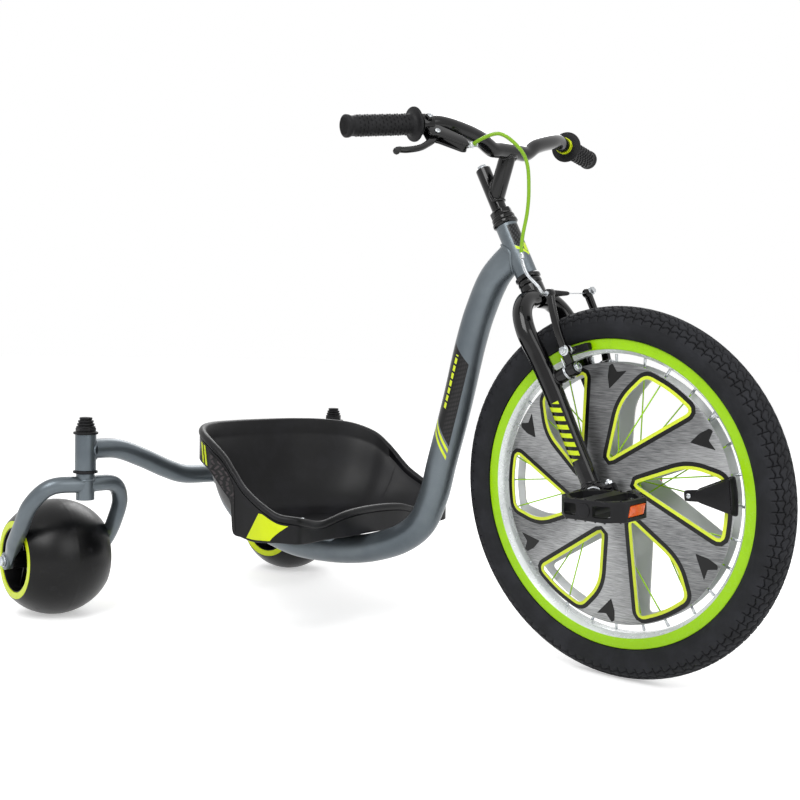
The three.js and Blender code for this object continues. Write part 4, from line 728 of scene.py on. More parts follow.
def makeCovers():
    # Thin cone with six windows carved through, each framed by a yellow-green and a black film
    size = coverSize
    r1 = size.radius
    loops = [windowOutline(k) for k in range(size.windows)]
    for name, side in sides:
        radii = np.linspace(size.bore, r1, 16)
        lower = [(r, coverReach(r)) for r in radii]
        upper = [(r, coverReach(r) + size.thick) for r in radii[::-1]]
        edge = [(r1 + 0.45, coverReach(r1) + 0.4), (r1 + 0.45, coverReach(r1) + 1.1)]
        profile = [(r, side * y) for r, y in lower + edge + upper]
        cover = makePiece(f"disc_{name}", [lathe(profile + profile[:1], 240)], "front_wheel",
                          "brushed_alloy", f"disc_cover_{name}")
        carve(cover, [[loft([upright(loop, side * y) for y in (4, 44)])] for loop in loops], wheel)
        for film, (low, high), finish in (
                ("inner", size.yellow, "yellow_green_film"), ("outer", size.black, "black_film")):
            bands = []
            for loop in loops:
                near, far = outset(loop, low), outset(loop, high)
                far *= np.minimum(1, (r1 - 0.6) / np.linalg.norm(far, axis=1))[:, None]
                corners = ((near, 0.02), (near, size.film), (far, size.film), (far, 0.02))
                bands.append(patchFrom(np.stack([onCone(flat, side, lift) for flat, lift in corners]),
                                       loopRows=True))
            makePiece(f"window_{film}_{name}", bands, "front_wheel", finish)
        marks = []
        for angle in size.markAngles:
            c, s = math.cos(math.radians(angle)), math.sin(math.radians(angle))
            flat = rounded(size.mark, 1.6) @ np.array([[c, s], [-s, c]])
            marks.append(loft([onCone(flat, side, lift) for lift in (0.02, size.film)]))
        makePiece(f"cover_marks_{name}", marks, "front_wheel", "black_film")


reflectorSize = Sizes(inner=112, nose=128, outer=186, half=26.5, noseHalf=11, thick=10, angle=5, seat=162)


def makeReflector():
    # Wedge with a round nose whose walls taper outwards, clip tab with its screw at the narrow end
    size = reflectorSize
    turn = np.radians(np.linspace(100, 260, 15))
    nose = [(size.nose + size.noseHalf * (1 + math.cos(t)), size.noseHalf * math.sin(t)) for t in turn]
    outline = rounded(nose + [(size.outer - 2, -size.half), (size.outer, -size.half * 0.4),
                              (size.outer, size.half * 0.4), (size.outer - 2, size.half)],
                      [1] * 15 + [5, 8, 8, 5], 5)
    outline = evenly(outline, 120, closed=True)
    base = -(coverReach(size.seat) + 1.8)
    rings = []
    for lift, inset in ((0, 0), (1.2, 0), (1.6, 1.3), (8.4, 2.6), (9.6, 3.2), (size.thick, 4.6)):
        rings.append(upright(outset(outline, -inset), base - lift))
    tab = slab(rounded([(size.inner, -7), (size.nose + 8, -8), (size.nose + 8, 8), (size.inner, 7)], 4),
               base - 3.4, base, 0.8, axes=(0, 2, 1))
    turned = turnedY(-size.angle)
    makePiece("reflector_housing", [shifted(loft(rings), turned), shifted(tab, turned)], "front_wheel",
              "moulded_black", "wheel_reflector")
    screw = turnedPart([(0, 0), (3.4, 0), (3.4, 1.4), (1.8, 2.1), (0, 2.1)], 0.4, segments=24)
    screw = flipped(screw, -1, (119, base - 3.4, 0))
    makePiece("reflector_screw", [shifted(screw, turned)], "front_wheel", "bright_zinc")


makeTyre()
makeRim()
makeHub()
makeCovers()
makeReflector()
print("wheel made")

# Cranks, pedals and bearings, in the wheel's frame and the fork's

crankSize = Sizes(
    length=89, inside=77.3, hubRadius=15.5, hubThick=14, eyeRadius=11.5, eyeThick=12, flare=17,
    spindle=4.8, bolt=9, boltHead=4.5,
)
eyeIn = crankSize.inside + crankSize.flare


def crankTurn(side):  # the right crank's angle; the left one is half a turn further
    return math.radians(layout.crankAngle + (0 if side < 0 else 180))


def crankEye(side):  # pedal end of a crank, its length along that angle
    turn = crankTurn(side)
    return np.array([crankSize.length * math.cos(turn), 0, crankSize.length * math.sin(turn)])


def makeCranks():
    # Oval section that shrinks and steps out from the hub boss to the eye, between two turned bosses
    size = crankSize
    for name, side in sides:
        eye = crankEye(side)
        along = unit(eye)
        over = np.cross(along, (0, 1, 0))
        t = np.linspace(0.06, 0.97, 26)[:, None, None]
        rise = ease(t)
        middle = t * eye + (size.inside + size.hubThick / 2 + rise * (size.flare - 1)) * [0, side, 0]
        c, s = [v[None, :, None] for v in circle(40)]
        wide = (11.6 - 3 * t) * squared(c, 0.75)
        thick = (6.6 - 1.4 * t) * squared(s, 0.75)
        arm = loft(middle + wide * over + thick * np.array([0, 1, 0]))
        hub = ringPart(size.bolt + 0.4, size.hubRadius, 0, size.hubThick, 1.6, segments=64)
        plug = ringPart(5.0, size.bolt + 0.6, 0.3, size.hubThick - 3, 0.4, segments=48)
        boss = ringPart(size.spindle, size.eyeRadius, 0, size.eyeThick, 1.4, segments=64)
        parts = [arm] + [flipped(part, side, (0, side * size.inside, 0)) for part in (hub, plug)]
        parts.append(flipped(boss, side, eye + [0, side * eyeIn, 0]))
        makePiece(f"crank_arm_{name}", parts, "front_wheel", "gloss_black", f"crank_{name}")
        face = size.inside + size.hubThick + 0.3
        bolt = ringPart(3.1, size.bolt, 0, size.boltHead, 1.1, segments=48)
        floor = discPart(3.5, 0, 1.4, 0.2, segments=6)
        heads = [flipped(part, side, (0, side * face, 0)) for part in (bolt, floor)]
        makePiece(f"crank_bolt_head_{name}", heads, "front_wheel", "gloss_black", f"crank_bolt_{name}")
        spindle = turnedPart([(0, 0), (4.5, 0), (4.5, 12.3), (6, 12.3), (6, 28.7), (4.5, 28.7), (4.5, 104),
                              (0, 104)], 0.5, segments=48)
        makePiece(f"spindle_{name}", [flipped(spindle, side, eye + [0, side * eyeIn, 0])], "front_wheel",
                  "bright_zinc", f"pedal_spindle_{name}")


pedalSize = Sizes(
    length=94, width=83, thick=25, chamfer=20, rib=6.5, barrel=9.5, inside=eyeIn + 12 + 17,
    reflector=32, peg=1.6,
)


def makePedals():
    # Rounded cage carved by two bays and by the windows of its end faces; turned barrel, pegs and reflectors
    size = pedalSize
    halfL, halfW, halfT, chamfer = size.length / 2, size.width / 2, size.thick / 2, size.chamfer
    wide, deep = halfL - chamfer, halfW - chamfer
    outline = [(halfL, -deep), (halfL, deep), (wide, halfW), (-wide, halfW), (-halfL, deep), (-halfL, -deep),
               (-wide, -halfW), (wide, -halfW)]
    inner, bayOut, lensHalf = halfL - size.rib, halfW - size.rib, size.reflector / 2
    for name, side in sides:
        eye = crankEye(side)
        place = wheel @ moved(eye[0], side * (size.inside + halfW), eye[2])
        body = makePiece(f"pedal_cage_{name}", [slab(rounded(outline, 3, 4), -halfT, halfT, 1.6)],
                         f"pedal_{name}", "moulded_black", f"pedal_{name}", place=place)
        cuts = []
        for end in (-1, 1):
            bay = [(end * inner, -bayOut + chamfer), (end * inner, bayOut - chamfer),
                   (end * (inner - chamfer + 1), bayOut), (end * size.barrel, bayOut),
                   (end * size.barrel, -bayOut), (end * (inner - chamfer + 1), -bayOut)]
            cuts.append([slab(rounded(bay, 2.5, 4), -halfT * 2, halfT * 2, 0.1)])
            for face in (-1, 1):  # windows in the end faces, which run on to the chamfers
                window = [(end * x, z) for x, z in ((11.5, -7.2), (33, -7.2), (33, 7.2), (11.5, 7.2))]
                cuts.append([slab(rounded(window, 3, 4), face * (halfW + 4), face * (bayOut - 13), 0.1,
                                  axes=(0, 2, 1))])
            pocket = [(-lensHalf - 4, -7.4), (lensHalf - 1, -7.4), (lensHalf + 4, 7.4), (-lensHalf + 1, 7.4)]
            cuts.append([slab(rounded(pocket, 1, 3), end * (halfL - 3), end * (halfL + 4), 0.1,
                              axes=(1, 2, 0))])
        carve(body, cuts, place)
        barrel = discPart(11.2, -halfW - 0.2, halfW + 0.2, 1.2, segments=64)
        cap = turnedPart([(0, halfW), (8.4, halfW), (8.4, halfW + 1.5), (0, halfW + 1.9)], 0.8, segments=48)
        parts = [barrel, flipped(cap, side)]
        for x in (-39.5, -27, -14, 0, 14, 27, 39.5):  # pegs round both treads
            for y in (-halfW + 3.2, halfW - 3.2):
                if abs(x) > wide + 2:
                    y *= 0.62
                for up in (-1, 1):
                    parts.append(rodZ(up * (halfT - 1), up * (halfT + 1.2), (x, y), size.peg, 1.2, 12, 0.4))
        makePiece(f"pedal_barrel_{name}", parts, f"pedal_{name}", "moulded_black", place=place)
        lenses = []
        for end in (-1, 1):
            lens = [(-lensHalf - 3, -6.4), (lensHalf - 2, -6.4), (lensHalf + 3, 6.4), (-lensHalf + 2, 6.4)]
            lenses.append(slab(rounded(lens, 1.5, 4), end * (halfL - 3.4), end * (halfL + 0.2), 0.7,
                               axes=(1, 2, 0)))
        makePiece(f"pedal_lenses_{name}", lenses, f"pedal_{name}", "amber_reflector", place=place)


bearingSize = Sizes(
    spread=50, radius=16, thick=12, wall=5, ear=12, earThick=8,
    bolt=[(-13.6, -8.3, 5.3, 6, 0.5), (-8.6, -8.2, 6.4, 24, 0.1),  # from, to, radius, sides, edge
          (8.3, 12.6, 5.2, 6, 0.5), (12, 15, 3, 16, 0.5)],
)


def makeBearings():
    # Bearing rings with their seals, and the lower caps with clamp bolts through both ears
    size = bearingSize
    outer = size.radius + 0.3 + size.wall
    low, high = size.spread - size.thick / 2, size.spread + size.thick / 2
    for name, side in sides:
        ring = ringPart(9.0, 15.9, low, high, 0.6, segments=72)
        seal = ringPart(10.4, 13.8, low - 0.2, high + 0.2, 0.2, segments=72)
        makePiece(f"bearing_ring_{name}", [flipped(ring, side)], "front_end", "bright_zinc",
                  f"wheel_bearing_{name}")
        makePiece(f"bearing_seal_{name}", [flipped(seal, side)], "front_end", "moulded_black")
        half = holderHalf(outer, side * low, side * high)
        makePiece(f"clamp_cap_{name}", [(half[0] * [1, 1, -1], half[1])], "front_end", "gloss_black",
                  f"bearing_cap_{name}")
        makePiece(f"clamp_seat_{name}", [half], "front_end", "gloss_black")
        bolts = []
        for end in (-1, 1):
            x, y = end * (outer + size.ear / 2), side * size.spread
            for foot, top, radius, count, edge in size.bolt:
                bolts.append(rodZ(foot, top, (x, y), radius, None, count, edge))
        makePiece(f"clamp_bolts_{name}", bolts, "front_end", "bright_zinc")


def holderHalf(outer, low, high):
    # Half ring between two radii over the upper half turn, with a flat ear at each end
    turn = np.linspace(0, np.pi, 40)
    arch = np.stack([np.cos(turn), np.sin(turn)], axis=1)
    inside, outside = 16.3 * arch[::-1], outer * arch
    reach, thick = outer + bearingSize.ear, bearingSize.earThick
    outline = np.concatenate([
        [(16.3, 0.15), (reach, 0.15), (reach, thick)], outside[outside[:, 1] > thick],
        [(-reach, thick), (-reach, 0.15)], inside[inside[:, 1] > 0.15]])
    return slab(outline, low, high, 0.7, axes=(0, 2, 1))


makeCranks()
makePedals()
makeBearings()
print("drive made")

# Handlebar, stem and grips, in the steered frame

barSize = Sizes(
    radius=11.1, forward=53, height=508, rise=32, innerGrip=172.4, gripForward=42.8,
    sweep=16.2, upsweep=2.5, gripLength=108.8, gripRadius=14.4, flange=23.3, flangeThick=3.5,
    shares=[(1, 0.12, 0), (1, 0.22, 0), (1.08, 0.38, 0.38), (1.08, 0.64, 0.76)],  # forward, out, up
)
gripOut = np.array([-math.sin(math.radians(barSize.sweep)), 0, math.sin(math.radians(barSize.upsweep))])
gripOut[1] = math.sqrt(1 - gripOut @ gripOut)
gripRoot = np.array([barSize.gripForward, barSize.innerGrip, barSize.height + barSize.rise])


def makeBar():
    # Round tube along a smooth path through the bends, straight inside the grips
    size = barSize
    half = [np.array([size.forward * x, size.innerGrip * y, size.height + size.rise * z])
            for x, y, z in size.shares]
    half += [gripRoot + gripOut * d for d in (-37.5, -15, 0, 52, 105.5)]
    flip = np.array([1, -1, 1])
    points = [p * flip for p in half[::-1]] + [np.array([size.forward, 0, size.height])] + half
    path = smoothPath(points, 240)
    makePiece("bar_tube", [sweep(path, tubeEnd(path, size.radius, 0.8), 40)], "front_end", "gloss_black",
              "handlebar")


stemSize = Sizes(
    quill=11.1, low=362, top=511, riserFoot=(5, 0, 464), riser=12.1, boltRadius=7, boltHead=5.2,
)


def makeStem():
    # Quill post with a domed top, and the riser tube welded between it and the bar
    size = stemSize
    head = np.array([barSize.forward, 0, barSize.height])
    post = turnedPart([(0, size.low), (size.quill, size.low), (size.quill, size.top - 0.3),
                       (8.6, size.top), (0, size.top)], 1.8, segments=56, axis="z")
    foot = np.array(size.riserFoot, float)
    along = unit(head - foot)
    riser = rod(foot - along * 2, head - along * 1, size.riser, None, 48, 0.5)
    weldLow, weldHigh = [], []
    for k in range(72):  # seams where the riser meets the post and the bar
        turn = 2 * math.pi * k / 72
        across = np.cross(along, (0, 1, 0))
        rim = size.riser * (math.cos(turn) * across + math.sin(turn) * np.array([0, 1, 0]))
        y = rim[1]
        meetPost = math.sqrt(max(size.quill ** 2 - min(abs(y), size.quill - 0.4) ** 2, 0))
        start = foot + rim
        weldLow.append(start + along * ((meetPost + 0.4 - start[0]) / along[0]))
        drop = rim @ across
        meetBar = math.sqrt(max(size.quill ** 2 - min(abs(drop), size.quill - 0.4) ** 2, 0))
        weldHigh.append(head + rim - along * (meetBar + 0.4))
    parts = [post, riser, bead(weldLow, 2.2), bead(weldHigh, 2.1)]
    makePiece("stem_weldment", parts, "front_end", "gloss_black", "stem")
    bolt = rodZ(size.top + 0.3, size.top + size.boltHead, (0, 0), size.boltRadius, None, 6, 0.7)
    collar = discPart(8.1, size.top, size.top + 1.5, 0.4, segments=40, axis="z")
    shank = rodZ(340, size.top + 1, (0, 0), 3.4)
    makePiece("quill_bolt_head", [bolt, collar, shank], "front_end", "bright_zinc", "quill_bolt")


def aimed(root, out, down):
    # Frame with x along the first vector and y as near the second as a square corner allows
    x = unit(out)
    y = unit(down - x * (down @ x))
    made = np.eye(4)
    made[:3] = np.stack([x, y, np.cross(x, y), root], axis=1)
    return made


def makeGrips():
    # Turned sleeve with its guard flange and end, and rows of small raised ribs round it
    size = barSize
    for name, side in sides:
        flip = np.array([1, side, 1])
        place = steered @ aimed(gripRoot * flip, gripOut * flip, np.array([0, 0, -1.0]))
        length, core = size.gripLength, size.gripRadius - 1
        profile = [
            (11.3, 0), (size.flange, 0), (size.flange, size.flangeThick), (core + 3.4, 5.4), (core, 9),
            (core, length - 9), (core + 1.6, length - 6), (core + 1.6, length - 1.6), (core - 1, length),
            (0, length)]
        sleeve = lathe(rounded(profile, [0.4, 1.4, 1.4, 2, 2, 2, 1.2, 1, 1, 0], 5, closed=False), 96, "x")
        hole = lathe([(0, 106), (11.3, 106), (11.3, 0)], 48, "x")
        parts = [(np.concatenate([sleeve[0], hole[0]]),
                  sleeve[1] + [[k + len(sleeve[0]) for k in face] for face in hole[1]])]
        for ring in range(14):  # staggered raised ribs
            x = 16 + ring * 5.7
            for k in range(12):
                turn = 2 * math.pi * (k + 0.5 * (ring % 2)) / 12
                around = np.linspace(turn - 0.17, turn + 0.17, 7)
                path = np.stack([np.full(7, x), core * np.cos(around), core * np.sin(around)], axis=1)
                parts.append(sweep(path, tubeEnd(path, 1.25, 1.0), 10, 0.72, up=(1, 0, 0)))
        end = length - 0.1
        plug = turnedPart([(0, end - 1), (11.8, end - 1), (11.8, end + 0.3), (9, end + 0.9),
                           (0, end + 0.9)], 0.5, segments=64, axis="x")
        parts.append((np.minimum(plug[0], [length, 99, 99]), plug[1]))
        makePiece(f"grip_sleeve_{name}", parts, "front_end", "soft_rubber", f"grip_{name}", place=place)
        if side > 0:  # two bright rings beside the flange
            bands = [ringPart(11.2, 12.5, x, x + 2.4, 0.5, segments=64, axis="x")
                     for x in (-7, -12.5)]
            makePiece("grip_bands", bands, "front_end", "stripe_paint", place=place)


leverSize = Sizes(
    station=15, tilt=16, clamp=14.6, clampWide=17, pivot=(-6, 23), thick=6.6, reach=77, drop=28,
    perchThick=15, barrel=4.6, barrelFrom=45.3, barrelTo=56, cableUp=44,
    blade=[(0, 0), (0.2, 0.45), (0.45, 0.8), (0.75, 0.92), (0.92, 0.9), (1, 1.08)],
    outline=[(6, 8.4), (7, 30), (-6, 30), (-38, 51), (-45, 51), (-45, 37), (-29, 22), (-12, 8.4)],
)
leverOut = gripOut * [1, -1, 1]
tilt = math.radians(leverSize.tilt)
leverFrame = steered @ aimed(gripRoot * [1, -1, 1] - leverOut * leverSize.station, leverOut,
                             np.array([math.sin(tilt), 0, -math.cos(tilt)]))


def makePerch():
    # Clamp ring round the bar with its split and ears, and the arm that carries pivot and cable
    size = leverSize
    half, thick = size.clampWide / 2, size.perchThick / 2
    ring = ringPart(11.4, size.clamp, -half, half, 1.0, segments=72, axis="x")
    side = rounded(size.outline, [2, 6, 8, 6, 3, 3, 9, 5], 5)
    arm = [slab(side, end * (size.thick / 2 + 0.3), end * thick, 1.3) for end in (-1, 1)]
    arm.append(slab(rounded([(-14, 29), (-38, 50.6), (-44.7, 50.6), (-44.7, 37.2), (-29, 22.4), (-20, 15)],
                            [3, 5, 3, 3, 8, 3], 5), -thick + 0.5, thick - 0.5, 0.4))
    arm.append(slab([(-11.8, 8.6), (5.8, 8.6), (6.2, 14.6), (-11.8, 14.6)], -thick + 0.5, thick - 0.5, 0.4))
    block = rodZ(11.6, 16.9, (0, 3), 5.8, None, 40, 0.9)
    makePiece("perch_body", arm + [ring, block], "front_end", "gloss_black", "lever_perch",
              place=leverFrame)
    head = [(0, 16.6), (3.7, 16.6), (3.7, 18.6), (1.9, 18.9), (1.9, 17.6), (0, 17.6)]
    screw = lathe(rounded(head, 0.35, 3, closed=False), 36, "z", (0, 3, 0))
    makePiece("perch_screw", [screw], "front_end", "bright_zinc", place=leverFrame)
    barrel = [(0, 0), (size.barrel, 0), (size.barrel, 3), (3.6, 3.8), (3.6, 6), (4.2, 6.6), (4.2, 10.2),
              (3.4, 10.7), (0, 10.7)]
    flip = [(r, -size.barrelFrom - h) for r, h in barrel]
    knurl = lathe(rounded(flip, 0.4, 3, closed=False), 40, "x", (0, size.cableUp, 0))
    ribs = []
    for k in range(20):
        turn = 2 * math.pi * k / 20
        y, z = size.cableUp + 4.1 * math.cos(turn), 4.1 * math.sin(turn)
        ribs.append(rodX(-size.barrelFrom - 6.8, -size.barrelFrom - 10, (y, z), 0.45, None, 6, 0.2))
    makePiece("barrel_adjuster", [knurl] + ribs, "front_end", "bright_zinc", "cable_barrel", place=leverFrame)


def makeLever():
    # Blade of an oval section that is carried along its bent path and swells into a round tip
    size = leverSize
    px, py = size.pivot
    path = smoothPath([(px + x * size.reach, py + y * size.drop, 0) for x, y in size.blade], 72)
    t = np.linspace(0, 1, 72)
    deep = 7 - 2.6 * np.clip(t * 3, 0, 1) + 0.6 * np.clip((t - 0.85) / 0.15, 0, 1)
    tip = np.clip((1 - t) / 0.05, 0, 1)
    deep *= np.sqrt(tip * (2 - tip) + 1e-4)
    wide, tall = frameAlong(path)[1:]
    c, s = [v[None, :, None] for v in circle(32)]
    across = size.thick / 2 * squared(s, 0.7)
    high = deep[:, None, None] * squared(c, 0.8)
    edge = np.minimum(1, deep / 2.4)[:, None, None]
    grid = path[:, None, :] + high * wide[:, None, :] + across * edge * tall[:, None, :]
    blade = loft(grid)
    root = lathe(rounded([(0, -3.3), (7, -3.3), (7, 3.3), (0, 3.3)], 0.8, 4, closed=False), 40, "z",
                 (px, py, 0))
    makePiece("lever_blade", [blade, root], "brake_lever", "gloss_black", "brake_lever", place=leverFrame)
    pin = size.perchThick / 2 + 0.3
    ends = []
    head = rounded([(0, 0), (4.2, 0), (4.2, 1.4), (3.2, 2.2), (0, 2.2)], 0.5, 3, closed=False)
    for end in (-1, 1):
        ends.append(lathe([(r, end * (pin + h)) for r, h in head], 36, "z", (px, py, 0)))
    shank = rodZ(-pin, pin, (px, py), 2.4)
    makePiece("lever_pivot", ends + [shank], "front_end", "bright_zinc", "lever_pin", place=leverFrame)


makeBar()
makeStem()
makeGrips()
makePerch()
makeLever()
print("bars made")

# Fork and headset, round the steering axis

forkSize = Sizes(
    steerer=12.7, crownTop=318.7, crownHeight=24, crown=17, leg=13.8, spread=50, legTop=312,
    foot=17.5, bossForward=38, bossHeight=170, bossSpread=42, boss=10,
    shares=[(0.16, 0.955), (0.55, 0.94), (0.92, 0.885), (1.1, 0.79), (1.02, 0.67), (0.97, 0.5)],  # out, up
)


def forkPaint():
    # Black enamel with a column of slanted bright bars on the outer face of each leg
    s = Shade("fork_paint")
    x, y, z = s.local(steered)
    dust = s.step(s.noise(38, 5), 0.5, 0.78)
    field = s.step(abs(y), 54, 55) * s.drop(abs(x), 8, 8.6) * s.step(z, 54, 55) * s.drop(z, 138, 139)
    bars = field * s.step(s.sine((z + x * 0.5) * 0.5), -0.25, 0.0)
    base = s.mix(bars, s.mix(dust, colour(5, 5, 6), colour(17, 18, 19)), colour(188, 208, 20))
    s.finish(base, 0.13 + 0.14 * dust + 0.16 * bars, 0.0, 0.6, 0.05, s.bump(s.noise(420, 2), 0.1, 0.0004))


forkPaint()


def makeFork():
    # Bent legs of one round section under a turned crown, with the studs for the brake
    size = forkSize
    parts = [
        discPart(size.crown, size.crownTop - size.crownHeight, size.crownTop, 2.2, segments=72, axis="z"),
        rodZ(size.crownTop - 4, 440, (0, 0), size.steerer - 0.1, None, 48)]
    for side in (-1, 1):
        points = [(0, side * out * size.spread, up * size.legTop) for out, up in size.shares]
        points += [(0, side * size.spread, 90), (0, side * size.spread, size.foot)]
        path = smoothPath(points, 150)
        t = np.linspace(0, 1, 150)
        narrow = size.leg - 1.1 * np.clip((t - 0.55) / 0.45, 0, 1)
        parts.append(sweep(path, narrow, 44, up=(1, 0, 0)))
        front = size.bossForward - 7.8
        parts.append(rodX(4, front, (side * size.bossSpread, size.bossHeight), size.boss + 1, size.boss,
                          40, 1))
        foot, seam = [], []
        for k in range(48):  # seams round the stud and round the leg's foot
            turn = 2 * math.pi * k / 48
            y = side * size.bossSpread + (size.boss + 0.8) * math.cos(turn)
            across = min(abs(y - side * 48.6), size.leg - 1.6)
            seam.append((math.sqrt((size.leg - 0.4) ** 2 - across ** 2), y,
                         size.bossHeight + (size.boss + 0.8) * math.sin(turn)))
            x = 12.9 * math.cos(turn)
            foot.append((x, side * size.spread + 12.4 * math.sin(turn),
                         math.sqrt(max(21.3 ** 2 - x * x, 20))))
        parts += [bead(seam, 1.7), bead(foot, 1.9)]
        if side > 0:
            parts.append(bead([(16.2 * math.cos(a), 14.8 * math.sin(a), 295.6) for a in
                               np.linspace(0, 2 * np.pi, 60)[:-1]], 1.9))
    makePiece("fork_weldment", parts, "front_end", "fork_paint", "fork")


def makeHeadset():
    # Turned cups, races and locknut, stepped as their presses leave them
    for name, node, body, place, profile in (
            ("cup_below", "headset_cup_lower", "frame", column,
             [(13.6, 327.3), (17.2, 327.3), (18.6, 328.6), (18.6, 332.2), (16.6, 334.3), (13.6, 334.3)]),
            ("cup_above", "headset_cup_upper", "frame", column,
             [(13.6, 416.2), (16.6, 416.2), (18.6, 418.2), (18.6, 421.8), (17.4, 423.2), (13.6, 423.2)]),
            ("race_below", "crown_race", "front_end", steered,
             [(12.9, 319), (16.2, 319), (17.4, 320.5), (17.4, 323.5), (16.2, 327), (12.9, 327)])):
        makePiece(name, [turnedRing(profile, 0.5, segments=72, axis="z")], body, "gloss_black", node,
                  place=place, sharp=30)
    low = turnedRing([(12.9, 423.5), (16.2, 423.5), (17.2, 424.6), (17.2, 428.8), (16.4, 430.8),
                      (12.9, 430.8)], 0.5, segments=72, axis="z")
    nut = slab(rounded(16.4 * np.stack(circle(8), axis=1), 1.6, 3), 431.3, 440.4, 1.0)
    body = makePiece("locknut", [low, nut], "front_end", "gloss_black", "headset_nut", sharp=30)
    carve(body, [[rodZ(430, 452, (0, 0), 11.5, None, 48, 0.1)]], steered)
    slotted = ringPart(11.3, 13.6, 440.2, 441.2, 0.3, segments=64, axis="z")
    makePiece("nut_washer", [slotted], "front_end", "gloss_black")


# Brake: arms, pads, studs and cable

brakeSize = Sizes(
    forward=38, height=170, spread=42, arm=108, lean=15, bow=7, topSpread=3, deep=13,
    wide=9, boss=10, padRadius=201.5, padIn=16.7, padThick=10, stud=3, nut=5.6,
    turn=math.asin((38 + 5) / 201.5),
)


def armAt(side, share):
    # Middle of a brake arm, bowed outwards by half a sine
    size = brakeSize
    return np.array([size.forward + size.lean * share,
                     side * (size.spread + size.topSpread * share + size.bow * math.sin(math.pi * share)),
                     size.height + size.arm * share])


def makeBrake():
    # Arms of a rounded box section that narrows upwards, with turned bosses, heads and bolts
    size = brakeSize
    c, s = circle(36)
    shapeX, shapeY = squared(c, 0.55), squared(s, 0.55)
    pad = np.array([size.padRadius * math.sin(size.turn), 0, size.padRadius * math.cos(size.turn)])
    for name, side in sides:
        rings = []
        for share in np.linspace(0, 1, 34):
            middle = armAt(side, share)
            deep = size.deep / 2 - 0.6 * share - 0.9 * math.sin(math.pi * share)
            wide = size.wide / 2 * (1 - share / 4)
            rings.append(middle + np.stack([deep * shapeX, wide * shapeY, np.zeros(36)], axis=1))
        top = armAt(side, 1)
        pivot = (size.forward, side * size.spread, size.height)
        boss = rodX(pivot[0] - 7.5, pivot[0] + 7.5, pivot[1:], size.boss, None, 48, 1.2)
        head = rodY(top[1] - 4.8, top[1] + 4.8, (top[0], top[2]), 6.6, None, 40, 1.0)
        boltFace, padAt = pivot[0] + 7.5, pad[[0, 2]]
        armY = abs(armAt(side, (pad[2] - size.height) / size.arm)[1])
        lug = rodY(side * (armY - 4.2), side * (armY + 4.2), (pad[0] - 1, pad[2]), 7.6, None, 40, 1)
        makePiece(f"brake_lever_arm_{name}", [loft(rings), boss, head, lug], f"brake_arm_{name}",
                  "gloss_black", f"brake_arm_{name}")
        bolt = [rodX(boltFace + 0.3, boltFace + 1.5, pivot[1:], 7.2, None, 40, 0.4),
                rodX(boltFace + 1.3, boltFace + 4.8, pivot[1:], 5.9, 5.4, 40, 1.0),
                rodX(pivot[0] - 20, boltFace + 1, pivot[1:], 3.9)]
        made = makePiece(f"brake_pivot_bolt_{name}", bolt, "front_end", "bright_zinc", f"brake_bolt_{name}")
        carve(made, [[rodX(boltFace + 2.4, boltFace + 9, pivot[1:], 2.9, None, 6, 0.1)]], steered, True)
        block = slab(rounded([(-22, -5), (22, -5), (22, 5), (-22, 5)], 2.2, 4), size.padIn,
                     size.padIn + size.padThick, 1.2, axes=(0, 2, 1))
        ribs = [slab([(x - 0.9, -4.4), (x + 0.9, -4.4), (x + 0.9, 4.4), (x - 0.9, 4.4)], size.padIn + 8,
                     size.padIn + 10.5, 0.4, axes=(0, 2, 1)) for x in (-16, -11, -6, 6, 11, 16)]
        place = steered @ moved(*pad) @ turnedY(math.degrees(size.turn))
        makePiece(f"brake_shoe_{name}", [flipped(part, side) for part in [block] + ribs],
                  f"brake_arm_{name}", "soft_rubber", f"brake_pad_{name}", place=place)
        fixings = [
            rodY(side * (size.padIn + 8), side * (armY + 10), padAt, size.stud),
            rodY(side * (armY + 4.4), side * (armY + 8.6), padAt, size.nut, None, 6, 0.5),
            rodY(side * (armY + 3.9), side * (armY + 4.6), padAt, 7.4, None, 40, 0.2),
            rodY(side * (armY - 7.6), side * (armY - 4.0), padAt, 6.8, 5.6, 40, 0.6)]
        makePiece(f"brake_shoe_fixing_{name}", fixings, f"brake_arm_{name}", "bright_zinc")
        spring = []
        for k in range(90):  # return spring: two coils round the stud, then a leg up behind the arm
            a = 2 * math.pi * k / 36
            spring.append((pivot[0] - 8.6 + 0.9 * a / math.pi, pivot[1] - side * 10.9 * math.cos(a),
                           pivot[2] + 10.9 * math.sin(a)))
        spring += [(pivot[0] - 4, pivot[1] + side * 9, pivot[2] + 20),
                   (pivot[0] - 1.5, pivot[1] + side * 8, pivot[2] + 46)]
        wire = smoothPath(np.array(spring)[::3], 160)
        makePiece(f"return_spring_{name}", [sweep(wire, tubeEnd(wire, 0.85, 0.5), 10)],
                  f"brake_arm_{name}", "bright_zinc")


cableSize = Sizes(
    housing=2.5, noodle=2.3, wire=0.8, bootFrom=-36.5, bootTo=-1.5, forward=53, height=278,
    route=[(77, -111, 494), (112, -100, 488), (123, -85, 460), (119, -75, 441), (102, -70, 409),
           (86, -70, 384), (69, -76, 357.5), (60, -79, 340), (56.5, -80, 329)],
    bend=[(56.3, -80.06, 328.4), (54.6, -80, 322), (53, -78, 307), (56, -70, 288), (53, -60, 278),
          (53, -45, 278), (53, -26, 278)],
)


